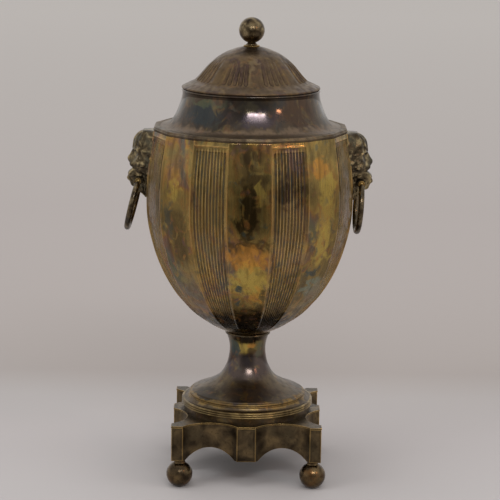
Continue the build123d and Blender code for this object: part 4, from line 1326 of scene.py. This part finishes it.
@dataclass
class Pedestal:
    """The trumpet foot with its bead, its reeded band and the stem's collar."""

    base: float = 68.8
    rim: tuple[Corner, ...] = ((69.4, 0.0), (69.4, 12.8))
    cove_middle: Corner = (68.4, 17.0)
    cove_radius: float = 4.2
    groove: Corner = (63.3, 16.4)
    bead_middle: Corner = (62.2, 18.5)
    bead_radius: float = 1.7
    shelf: Corner = (61.0, 20.6)
    trumpet: tuple[Corner, ...] = (
        (60.5, 21.4), (53.0, 24.0), (45.0, 28.0), (35.5, 33.2), (30.5, 37.2), (27.0, 41.7),
        (24.3, 46.7), (22.1, 52.2), (20.2, 61.2), (19.7, 69.2), (20.6, 76.2), (23.0, 84.2),
    )
    spigot: tuple[Corner, ...] = ((17.0, 84.2), (17.0, 88.4), (0.0, 88.4), (0.0, 75.1), (17.8, 75.1))
    wall: Corner = (1.8, 0.9)
    wall_top: float = 74.2
    inside: tuple[Corner, ...] = ((61.4, 15.0), (67.7, 11.0), (67.7, 0.0))
    reeds: int = 3
    reed_fullness: float = 0.97
    band_low: Corner = (69.5, 5.8)
    band_high: Corner = (69.5, 12.8)
    band_radius: float = 72.0
    collar_foot: Corner = (17.1, 84.25)
    collar_top: Corner = (17.1, 87.65)
    collar_middle: Corner = (23.1, 85.95)
    collar_radius: float = 1.65

    def place(self, name: str, outline: Sequence[Corner], finish: Material, node: str, count: int) -> None:
        """Makes one turned piece of the pedestal from an outline above the pedestal's base."""
        turned(name, raised(outline, self.base), finish, Body.ROOT, node, count)

    def build(self, palette: Palette) -> None:
        """Makes and dresses the pieces."""
        stem = smooth_run(self.trumpet)
        outside = [*self.rim, *arc(self.cove_middle, self.cove_radius, -75, -165), self.groove]
        outside += [*arc(self.bead_middle, self.bead_radius, -60, 110, parts=10), self.shelf, *stem]
        wall, drop = self.wall
        inside = [(out - wall, height - drop) for out, height in reversed(stem) if height < self.wall_top]
        outline = [*outside, *self.spigot, *inside, *self.inside]
        self.place("pedestal", outline, palette["pedestal"], "pedestal_foot", count=192)
        reed = (self.band_high[1] - self.band_low[1]) / (2 * self.reeds)
        band = [self.band_low]
        for number in range(self.reeds):
            middle = (self.band_radius - reed, self.band_low[1] + (2 * number + 1) * reed)
            band += arc(middle, reed * self.reed_fullness, -80, 80)
        self.place("reeded_band", [*band, self.band_high], palette["band"], "foot_reeded_band", count=192)
        ring = arc(self.collar_middle, self.collar_radius, -80, 80, parts=10)
        ring = [self.collar_foot, *ring, self.collar_top]
        self.place("stem_ring", ring, palette["ring"], "stem_collar", count=120)


# Pieces dressed from the part's own solids


def dressed(
    frame: dict, node: str, name: str, finish: Material, edge: Optional[Material] = None, width: float = 0.3
) -> Piece:
    """A copy of a CAD node with rounded edges and its own finish.

    Args:
        frame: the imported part.
        node: the CAD node.
        name: the piece's name.
        finish: its material.
        edge: the material of its worn edges.
        width: how wide the edges are rounded, in millimetres.

    Returns:
        The new piece, not yet on a body.
    """
    work = bmesh.new()
    work.from_mesh(frame["nodes"][node].data)
    bmesh.ops.remove_doubles(work, verts=work.verts, dist=CAD_WELD * MM)
    flat = math.radians(FLAT_ANGLE)
    bmesh.ops.dissolve_limit(work, angle_limit=flat, verts=work.verts, edges=work.edges)
    mesh = bpy.data.meshes.new(name)
    work.to_mesh(mesh)
    work.free()
    mesh.shade_smooth()
    return rounded_edges(add_object(name, mesh, finish, edge or finish), width, edge_slot=1)


@dataclass
class Plinth:
    """The square plinth: hollow walls with arches, corner posts, pilasters, top plate and ball feet."""

    corners: tuple[str, ...] = ("front_right", "back_right", "back_left", "front_left")
    sides: tuple[str, ...] = ("front", "right", "back", "left")
    ball_radius: float = 14.1
    ball_centre: float = 13.75
    ball_offset: float = 71.75
    ball_top: float = 63.0
    ball_neck: tuple[Corner, ...] = ((6.0, 27.5), (6.0, 28.6), (6.5, 29.2), (6.5, 29.98), (0.0, 29.98))
    half_width: float = 80.5
    bottom: float = 30.0
    top: float = 67.2
    post_width: float = 12.5
    pilaster_width: float = 20.4
    pilaster_depth: float = 3.0
    border: float = 2.9
    recess: float = 0.7
    slope: float = 0.5
    worn_width: float = 0.6
    skirt_edge: float = 0.25
    plate_edge: float = 0.4

    def block(self, name: str, low: Point, high: Point, turn: float) -> Mesh:
        """A plain block with a sunk panel in each face that lies on the plinth's outer square.

        Args:
            name: the mesh's name.
            low: its lower corner, for the front side or the front right corner.
            high: its upper corner.
            turn: how far it is turned about the urn's axis, in degrees.

        Returns:
            The mesh, its borders in the second material slot.
        """
        work = bmesh.new()
        bmesh.ops.create_cube(work, size=1.0)
        for vert in work.verts:
            for axis in range(3):
                vert.co[axis] = (low if vert.co[axis] < 0 else high)[axis] * MM
        outer = [face for face in work.faces if self.is_outer(face)]
        for face in outer:
            rim = bmesh.ops.inset_individual(work, faces=[face], thickness=self.border * MM)["faces"]
            bmesh.ops.inset_individual(work, faces=[face], thickness=self.slope * MM, depth=-self.recess * MM)
            for border in rim:
                border.material_index = 1
        weight = work.edges.layers.float.new("bevel_weight_edge")
        corners = set(list(work.verts)[:8])
        for edge in work.edges:
            edge[weight] = 1.0 if corners.issuperset(edge.verts) else 0.0
        mesh = bpy.data.meshes.new(name)
        work.to_mesh(mesh)
        work.free()
        mesh.shade_smooth()
        return moved(mesh, turn=turn)

    def is_outer(self, face: bmesh.types.BMFace) -> bool:
        """Whether a face looks out of the plinth's front or right side."""
        middle = face.calc_center_median()
        outermost = (self.half_width - FLAT) * MM
        return middle.x > outermost or middle.y < -outermost

    def ball(self, name: str, turn: float) -> Mesh:
        """A turned ball foot with its neck, under the corner at an angle in degrees."""
        flat = math.degrees(math.asin(self.ball_centre / self.ball_radius))
        outline = arc((0.0, self.ball_centre), self.ball_radius, -flat, self.ball_top, parts=30)
        reach = self.ball_offset * math.sqrt(2)
        x = reach * math.cos(math.radians(turn))
        y = reach * math.sin(math.radians(turn))
        return moved(lathe(name, [(0.0, 0.0), *outline, *self.ball_neck], count=96), x, y)

    def panelled(
        self, name: str, low: Corner, high: Corner, turn: float, palette: Palette, node: str
    ) -> None:
        """Makes a post or a pilaster from two corners of its plan."""
        mesh = self.block(name, (*low, self.bottom), (*high, self.top), turn)
        piece = add_object(name, mesh, palette["plinth"], palette["border"], palette["worn_edge"])
        rounded_edges(piece, self.worn_width, edge_slot=2, rounding=Rounding.MARKED)
        settle(piece, Body.ROOT, node)

    def build(self, palette: Palette, frame: dict) -> None:
        """Makes and dresses the pieces."""
        outer = self.half_width
        inner = outer - self.post_width
        half = self.pilaster_width / 2
        metal, worn = palette["plinth"], palette["worn_edge"]
        for index, corner in enumerate(self.corners):
            ball = add_object(f"ball_{corner}", self.ball(f"ball_{corner}", 90 * index - 45), palette["ball"])
            settle(ball, Body.ROOT, f"ball_foot_{corner}")
            node = f"corner_post_{corner}"
            self.panelled(f"post_{corner}", (inner, -outer), (outer, -inner), 90 * index, palette, node)
        for index, side in enumerate(self.sides):
            node = f"mid_pilaster_{side}"
            face = self.pilaster_depth - outer
            self.panelled(f"pilaster_{side}", (-half, -outer), (half, face), 90 * index, palette, node)
            node = f"plinth_skirt_{side}"
            skirt = dressed(frame, node, f"skirt_{side}", metal, worn, self.skirt_edge)
            settle(skirt, Body.ROOT, node)
        plate = dressed(frame, "plinth_top", "plinth_plate", metal, worn, self.plate_edge)
        settle(plate, Body.ROOT, "plinth_top")


# Lion masks and ring handles


@dataclass(frozen=True)
class Swell:
    """A rounded rise or hollow of the lion's face, the same on both sides of its nose."""

    side: float
    up: float
    wide: float
    tall: float
    rise: float

    def at(self, side: float, up: float) -> float:
        """How much it adds at a place."""
        across = (abs(side) - self.side) / self.wide
        along = (up - self.up) / self.tall
        return self.rise * math.exp(-(across**2) - along**2)


@dataclass(frozen=True)
class LionMask:
    """One cast lion mask. Places on it are millimetres from the ring's pivot: out, to the side and up."""

    side: Side
    vessel: Vessel
    pivot_out: float = 120.0
    pivot_height: float = 323.0
    toe: float = 2.5
    jaw_half_width: float = 8.5
    slot_radius: float = 5.4
    pin_hole: float = 1.65
    levels: tuple[tuple[float, ...], ...] = (
        (-19.0, 3.5, -6.5, -6.6, -6.4),
        (-14.0, 7.0, -2.0, -3.0, -5.5),
        (-9.5, 9.5, 4.0, 1.0, -5.3),
        (-4.0, 12.5, 9.6, 5.0, -5.0),
        (0.5, 15.0, 11.9, 7.5, -5.0),
        (4.0, 17.0, 12.2, 8.6, -4.5),
        (8.5, 19.5, 11.0, 8.4, -3.0),
        (13.5, 21.5, 8.0, 7.0, -2.0),
        (17.5, 23.0, 9.0, 6.6, -1.0),
        (20.5, 24.0, 10.8, 5.6, -1.5),
        (24.0, 24.5, 11.0, 4.2, -1.5),
        (28.5, 25.0, 8.6, 3.0, -1.5),
        (33.0, 25.0, 6.4, 3.4, -2.0),
        (40.0, 25.0, 6.4, 4.8, -2.0),
        (46.0, 23.0, 5.4, 3.2, -3.0),
        (50.5, 19.5, 2.0, 0.0, -4.5),
        (53.5, 15.5, -2.5, -3.5, -5.2),
        (54.8, 12.0, -5.5, -5.6, -5.4),
    )
    face: tuple[Swell, ...] = (
        Swell(0.0, 23.5, 4.2, 3.2, 1.4),
        Swell(2.6, 20.6, 1.2, 1.0, -1.3),
        Swell(5.8, 18.0, 4.0, 4.2, 2.2),
        Swell(8.2, 31.5, 3.0, 2.2, -2.0),
        Swell(8.4, 31.2, 1.7, 1.3, 2.0),
        Swell(8.5, 34.6, 4.6, 1.3, 1.9),
        Swell(2.6, 35.5, 1.6, 2.4, 0.9),
        Swell(0.0, 30.5, 1.8, 5.0, 1.2),
        Swell(13.0, 22.0, 4.0, 4.0, 1.8),
        Swell(0.0, 13.8, 7.5, 1.5, -1.7),
        Swell(7.5, 12.8, 3.2, 1.3, -1.3),
        Swell(0.0, 8.6, 5.0, 2.2, 0.8),
        Swell(0.0, 4.0, 3.6, 2.4, 0.5),
        Swell(5.2, 5.6, 1.6, 2.0, 0.9),
        Swell(13.5, 14.0, 2.0, 2.0, 1.0),
        Swell(15.5, 34.5, 2.6, 2.4, 2.2),
        Swell(15.5, 34.5, 1.0, 0.9, -1.2),
        Swell(17.5, 19.0, 2.8, 2.6, 2.2),
        Swell(17.5, 19.0, 1.0, 1.0, -1.2),
    )
    face_middle: float = 23.0
    face_half_width: float = 13.5
    face_half_height: float = 15.0
    mane_run: float = 0.2
    mane_locks: float = 6.0
    lock_depth: float = 1.7
    lock_middle: float = 0.45
    lock_shape: float = 0.7
    waves: tuple[Point, ...] = ((0.03, 0.55, 0.0), (0.02, 0.23, 1.0))
    curl_depth: float = 0.4
    curl_up: float = 0.9
    curl_across: float = 6.0
    dome_strands: float = 4.0
    dome_wave: float = 0.4
    dome_depth: float = 1.02
    dome_start: float = 34.0
    dome_run: float = 4.0
    fade_in: float = 3.0
    fade_out: float = 2.5
    side_fade: float = 0.06
    sunk_edge: float = 0.1
    back_gap: float = 0.3
    rows: int = 130
    columns: int = 92
    backs: int = 14
    crease: float = 60.0
    slot_crease: float = 50.0
    cutter_length: float = 30.0
    boss_start: float = 13.3
    boss: tuple[Corner, ...] = (
        (3.6, 0.05), (3.6, 0.6), (3.3, 1.0), (2.8, 1.08), (2.4, 0.6), (1.9, 0.55), (1.5, 0.95),
        (0.7, 1.08), (0.0, 1.1),
    )
    pin_radius: float = 1.55

    def level(self, up: float) -> list[float]:
        """The head's half width and how far out its middle and thirds stand, at a height."""
        last = len(self.levels) - 1
        index = 0
        while index < last - 1 and up > self.levels[index + 1][0]:
            index += 1
        low, high = self.levels[index][0], self.levels[index + 1][0]
        share = (up - low) / (high - low)
        around = [self.levels[min(max(index + step, 0), last)] for step in (-1, 0, 1, 2)]
        return [self.eased([item[part] for item in around], share) for part in (1, 2, 3, 4)]

    @staticmethod
    def eased(values: Sequence[float], share: float) -> float:
        """A smooth curve's value between the second and the third of four values."""
        before, start, end, after = values
        leave = (end - before) / 2
        reach = (after - start) / 2
        cube = 2 * (start - end) + leave + reach
        square = 3 * (end - start) - 2 * leave - reach
        return ((cube * share + square) * share + leave) * share + start

    def base(self, across: float, up: float) -> Vector:
        """The head's smooth surface, without its features, across being -1 to 1."""
        half, centre, inner, outer = self.level(up)
        edge = self.vessel.face_at(half, self.pivot_height + up) - self.pivot_out - self.sunk_edge
        values = [edge, outer, inner, centre, inner, outer, edge]
        last = len(values) - 1
        place = (across + 1) * last / 2
        index = min(int(place), last - 1)
        around = [values[min(max(index + step, 0), last)] for step in (-1, 0, 1, 2)]
        return Vector((self.eased(around, place - index), across * half, up))

    def relief(self, side: float, up: float) -> float:
        """How far features and mane stand above the smooth head."""
        rise = sum(swell.at(side, up) for swell in self.face)
        away = math.hypot(side / self.face_half_width, (up - self.face_middle) / self.face_half_height)
        share = abs(side) / self.level(up)[0]
        wave = sum(size * math.sin(up * pace + start) for size, pace, start in self.waves)
        dome = smooth_step((up - self.dome_start) / self.dome_run)
        strand = abs(math.sin((share + self.dome_wave * wave) * math.pi * self.dome_strands))
        rise += dome * self.dome_depth * (strand**self.lock_shape - 0.5)
        mane = smooth_step((away - 1.0) / self.mane_run) * (1 - dome)
        if mane > 0:
            lock = abs(math.sin((share + wave) * math.pi * self.mane_locks))
            curl = 1 + self.curl_depth * (math.sin(up * self.curl_up + share * self.curl_across) - 1)
            rise += mane * self.lock_depth * (lock**self.lock_shape * curl - self.lock_middle)
        return rise

    def carved_spot(self, across: float, up: float) -> Vector:
        """A place on the head's surface with its features, each raised square to the smooth head."""
        low, high = self.levels[0][0], self.levels[-1][0]
        step, lift = 0.01, 0.2
        spot = self.base(across, up)
        along = self.base(min(across + step, 1), up) - self.base(max(across - step, -1), up)
        rising = self.base(across, min(up + lift, high)) - self.base(across, max(up - lift, low))
        out = along.cross(rising)
        if out.length > 0:
            fade = smooth_step((up - low) / self.fade_in) * smooth_step((high - up) / self.fade_out)
            fade *= smooth_step((1 - abs(across)) / self.side_fade)
            spot = spot + out.normalized() * self.relief(spot.y, up) * fade
        return spot

    def surface(self) -> tuple[list[Point], list[tuple[int, ...]]]:
        """Points and faces of the closed head, before the ring's slots are cut."""
        low, high = self.levels[0][0], self.levels[-1][0]
        points = []
        for row in range(self.rows + 1):
            up = low + (high - low) * row / self.rows
            for column in range(self.columns + 1):
                spot = self.carved_spot(2 * column / self.columns - 1, up)
                points.append((self.pivot_out + spot.x, spot.y, self.pivot_height + spot.z))
            half = self.level(up)[0]
            height = self.pivot_height + up
            for back in range(self.backs + 1):
                side = half * (1 - 2 * back / self.backs)
                points.append((self.vessel.face_at(side, height) - self.back_gap, side, height))
        size = self.columns + self.backs + 2
        faces = []
        for row in range(self.rows):
            here = row * size
            there = here + size
            for column in range(size):
                after = (column + 1) % size
                faces.append((here + column, here + after, there + after, there + column))
        faces.append(tuple(reversed(range(size))))
        faces.append(tuple(range(self.rows * size, (self.rows + 1) * size)))
        return points, faces

    def bar(self, radius: float, start: float, end: float) -> Mesh:
        """A round bar along the pin's axis, to cut with."""
        return self.on_pin(lathe("bar", [(0.0, start), (radius, start), (radius, end), (0.0, end)], count=64))

    def on_pin(self, mesh: Mesh) -> Mesh:
        """A mesh made along +Z, laid along the pin with its foot at the pivot, pointing to -Y."""
        mesh.transform(Matrix.Rotation(math.radians(90), 4, "X"))
        sign = self.side.value
        return moved(mesh, sign * self.pivot_out, 0.0, self.pivot_height, sign * self.toe)

    def build(self, palette: Palette) -> None:
        """Makes and dresses the mask and its pin."""
        word = self.side.word
        mesh = to_mesh(f"lion_mask_{word}", *self.surface(), self.crease)
        if self.side is Side.LEFT:
            moved(mesh, turn=180)
        piece = add_object(mesh.name, mesh, palette["cast"])
        far = self.cutter_length
        jaw = self.jaw_half_width
        for radius, start, end in (
            (self.slot_radius, jaw, far),
            (self.slot_radius, -far, -jaw),
            (self.pin_hole, -far, far),
        ):
            carve(piece, self.bar(radius, start, end))
        piece.data.shade_smooth()
        piece.data.set_sharp_from_angle(angle=math.radians(self.slot_crease))
        settle(piece, Body.ROOT, f"mask_{word}")
        head = raised(self.boss, self.boss_start)
        tail = [(radius, -height) for radius, height in reversed(head)]
        shank = [(self.pin_radius, -self.boss_start), (self.pin_radius, self.boss_start)]
        name = f"ring_bolt_{word}"
        pin = self.on_pin(lathe(name, tail + shank + head, count=48))
        settle(add_object(name, pin, palette["worn_edge"]), Body.ROOT, f"ring_pin_{word}")


def carve(piece: Piece, cutter: Mesh) -> None:
    """Cuts a closed mesh out of a piece."""
    tool = add_object("cutter", cutter)
    cut = piece.modifiers.new("cut", "BOOLEAN")
    cut.object = tool
    cut.solver = "EXACT"
    baked(piece)
    bpy.data.objects.remove(tool)


# Fittings that keep the part's own form


@dataclass(frozen=True)
class Fitting:
    """A piece dressed from its CAD node, with the key of its finish and the width of its edges."""

    node: str
    name: str
    body: Body
    slot: Slot
    finish: str
    width: float = 0.3


FITTINGS = (
    Fitting("ring_handle_left", "drop_ring_left", Body.RING_LEFT, Slot.MASK, "ring", 0.5),
    Fitting("ring_handle_right", "drop_ring_right", Body.RING_RIGHT, Slot.MASK, "ring", 0.5),
    Fitting("draw_rod", "stem_rod", Body.ROOT, Slot.FIXINGS, "fixings", 0.4),
    Fitting("draw_rod_washer", "rod_washer", Body.ROOT, Slot.FIXINGS, "fixings", 0.25),
    Fitting("draw_rod_nut", "rod_nut", Body.ROOT, Slot.FIXINGS, "fixings", 0.35),
    Fitting("finial_nut", "lid_nut", Body.LID, Slot.FIXINGS, "fixings", 0.3),
    Fitting("heater_tube", "iron_tube", Body.ROOT, Slot.TINNED, "tinned", 0.3),
    Fitting("heater_iron", "hot_iron", Body.HEATER_IRON, Slot.IRON, "iron", 0.5),
    Fitting("tube_cap", "tube_lid", Body.TUBE_CAP, Slot.TINNED, "tinned", 0.3),
    Fitting("tube_cap_knob", "tube_lid_knob", Body.TUBE_CAP, Slot.TINNED, "worn_edge", 0.3),
    Fitting("tap_flange", "tap_boss", Body.ROOT, Slot.TAP, "tap", 0.4),
    Fitting("tap_seal", "tap_washer", Body.ROOT, Slot.LEATHER, "leather", 0.3),
    Fitting("tap_backnut", "tap_inner_nut", Body.ROOT, Slot.TAP, "fixings", 0.4),
    Fitting("tap_body", "tap_casting", Body.ROOT, Slot.TAP, "tap", 0.5),
    Fitting("tap_plug", "tap_key", Body.TAP_PLUG, Slot.TAP, "tap", 0.3),
    Fitting("tap_plug_washer", "key_washer", Body.TAP_PLUG, Slot.TAP, "fixings", 0.2),
    Fitting("tap_plug_nut", "key_nut", Body.TAP_PLUG, Slot.TAP, "fixings", 0.3),
    Fitting("tap_lever", "key_lever", Body.TAP_PLUG, Slot.TAP, "tap", 0.4),
    Fitting("tap_lever_screw", "lever_screw", Body.TAP_PLUG, Slot.TAP, "fixings", 0.3),
    Fitting("tap_grip", "turned_grip", Body.TAP_PLUG, Slot.WOOD, "wood", 0.3),
)


def dress_fittings(frame: dict, palette: Palette) -> None:
    """Makes every fitting's piece from its node."""
    for fitting in FITTINGS:
        piece = dressed(frame, fitting.node, fitting.name, palette[fitting.finish], width=fitting.width)
        settle(piece, fitting.body, fitting.node)


# Stage and camera


@dataclass(frozen=True)
class PhotoCamera:
    """The camera of the photograph, 500 by 500 pixels: place, angles and focal length."""

    aside: float = 0.0012
    distance: float = 2.07762
    height: float = 0.66881
    focal_pixels: float = 1939.89
    image_width: float = 500.0
    sensor_width: float = 36.0
    sees_to: float = 50.0
    pitch: float = 0.2006
    roll: float = 0.0137

    def build(self) -> None:
        """Puts the camera in the scene."""
        camera = bpy.data.cameras.new("camera")
        camera.sensor_width = self.sensor_width
        camera.lens = self.sensor_width * self.focal_pixels / self.image_width
        camera.clip_end = self.sees_to
        holder = bpy.data.objects.new("camera", camera)
        bpy.context.scene.collection.objects.link(holder)
        forward = Vector((0.0, math.cos(self.pitch), -math.sin(self.pitch)))
        level = Vector((1.0, 0.0, 0.0))
        upright = level.cross(forward)
        right = math.cos(self.roll) * level + math.sin(self.roll) * upright
        up = right.cross(forward)
        turn = Matrix((right, up, -forward)).transposed().to_4x4()
        holder.matrix_world = Matrix.Translation((self.aside, -self.distance, self.height)) @ turn
        bpy.context.scene.camera = holder


@dataclass(frozen=True)
class Studio:
    """A pale floor with painted light falloff under soft light, with a dimmer room in front of the urn for
    its metal to show.
    """

    floor_half_width: float = 14.0
    floor_roughness: float = 0.85
    floor_gloss: float = 0.2
    # Painted light falloff on the floor: palest far off, darkest a little way behind the urn.
    painted_falloff_bands: Stops = (
        (0.13, (211, 206, 203)), (0.32, (182, 175, 173)), (0.525, (159, 152, 149)),
        (0.56, (167, 162, 161)), (0.62, (173, 168, 168)), (0.72, (172, 168, 168)),
    )
    near_dim: Shade = (104, 97, 88)
    room_light: float = 0.72
    room_tint: Colour = (1.0, 0.985, 0.965, 1.0)
    front_glow: float = 0.3
    side_glow: float = 0.8
    sunset: Shade = (255, 190, 150)
    aim: Point = (0.0, 0.0, 0.25)

    def build(self) -> None:
        """Makes the floor, the lamps and the world."""
        self.make_floor()
        self.lamp("softbox_above", (-0.25, -0.2, 2.4), (1.8, 1.8), 17.0)
        self.lamp("softbox_left", (-1.6, -1.0, 1.5), (0.9, 0.9), 8.0)
        self.lamp("softbox_right", (1.7, -0.6, 1.3), (0.8, 0.8), 5.0)
        self.lamp("window_front", (0.42, -2.5, 1.96), (1.4, 0.16), 22.0, mirrored=True)
        self.lamp("window_far", (1.9, -1.75, 1.5), (0.3, 0.12), 3.0, mirrored=True, tint=self.sunset)
        self.make_world()

    def make_floor(self) -> None:
        """A wide floor at height zero, its tone banded by distance as painted light falloff, dim towards the
        camera in reflections.
        """
        mesh = bpy.data.meshes.new("floor")
        half = self.floor_half_width
        corners = [(-half, -half, 0), (half, -half, 0), (half, half, 0), (-half, half, 0)]
        mesh.from_pydata(corners, [], [(0, 1, 2, 3)])
        shader = Shader("pale_floor")
        shader.feed(shader.surface["Roughness"], self.floor_roughness)
        shader.feed(shader.surface["Specular IOR Level"], self.floor_gloss)
        parts = shader.add("ShaderNodeSeparateXYZ", {0: shader.place}).outputs
        far = shader.sum("ADD", shader.sum("MAXIMUM", parts[1], -0.4), 1.5)
        colour = shader.ramp(shader.sum("DIVIDE", 1.0, far), self.painted_falloff_bands)
        ahead = shader.sum("MAXIMUM", shader.times(parts[1], -1.0), 0.1)
        aside = shader.sum("DIVIDE", shader.sum("ABSOLUTE", parts[0], 0.0), ahead)
        dim = shader.times(shader.span(parts[1], -0.3, -1.0), shader.span(aside, 1.0, 0.45))
        mirrored = shader.add("ShaderNodeLightPath").outputs["Is Glossy Ray"]
        colour = shader.mix(shader.times(dim, mirrored), colour, self.near_dim)
        shader.feed(shader.surface["Base Color"], colour)
        add_object("floor", mesh, shader.material)

    def lamp(
        self,
        name: str,
        place: Point,
        size: Corner,
        power: float,
        mirrored: bool = False,
        tint: Shade = (255, 255, 255),
    ) -> None:
        """A softbox aimed at the urn's middle.

        Args:
            name: its name.
            place: where it hangs, in metres.
            size: its width and height in metres.
            power: its light in watts.
            mirrored: whether polished metal shows its shape.
            tint: the light's colour.
        """
        light = bpy.data.lights.new(name, "AREA")
        light.shape = "RECTANGLE"
        light.size, light.size_y = size
        light.energy = power
        light.color = paint(tint)[:3]
        holder = bpy.data.objects.new(name, light)
        holder.visible_glossy = mirrored
        bpy.context.scene.collection.objects.link(holder)
        aim = Vector(self.aim) - Vector(place)
        holder.matrix_world = Matrix.Translation(place) @ aim.to_track_quat("-Z", "Y").to_matrix().to_4x4()

    def make_world(self) -> None:
        """Even light for surfaces; for reflections a pale room that is dim in front of the urn."""
        world = bpy.data.worlds.new("studio")
        bpy.context.scene.world = world
        world.use_nodes = True
        nodes = Nodes(world.node_tree)
        spot = nodes.add("ShaderNodeTexCoord").outputs["Generated"]
        back = nodes.add("ShaderNodeSeparateXYZ", {0: spot}).outputs[1]
        room = nodes.span(back, -0.95, -0.55, self.front_glow, self.side_glow)
        mirrored = nodes.add("ShaderNodeLightPath").outputs["Is Glossy Ray"]
        power = nodes.add("ShaderNodeMix", {0: mirrored, 2: self.room_light, 3: room}, data_type="FLOAT")
        light = world.node_tree.nodes["Background"]
        nodes.feed(light.inputs[0], self.room_tint)
        nodes.feed(light.inputs[1], power.outputs[0])


# The whole urn


def main() -> None:
    """Builds the whole urn and its stage."""
    logging.basicConfig(level=logging.INFO, format="%(name)s: %(message)s")
    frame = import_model()
    PhotoCamera().build()
    Studio().build()
    bpy.context.scene.view_settings.view_transform = "Standard"
    palette = {key: finish.make() for key, finish in FINISHES.items()}
    repeater = RoundTheAxis()
    vessel = Vessel()
    vessel.build(palette, repeater)
    Lid().build(palette, repeater)
    Pedestal().build(palette)
    Plinth().build(palette, frame)
    for side in Side:
        LionMask(side, vessel).build(palette)
    dress_fittings(frame, palette)


if __name__ == "__main__":
    main()
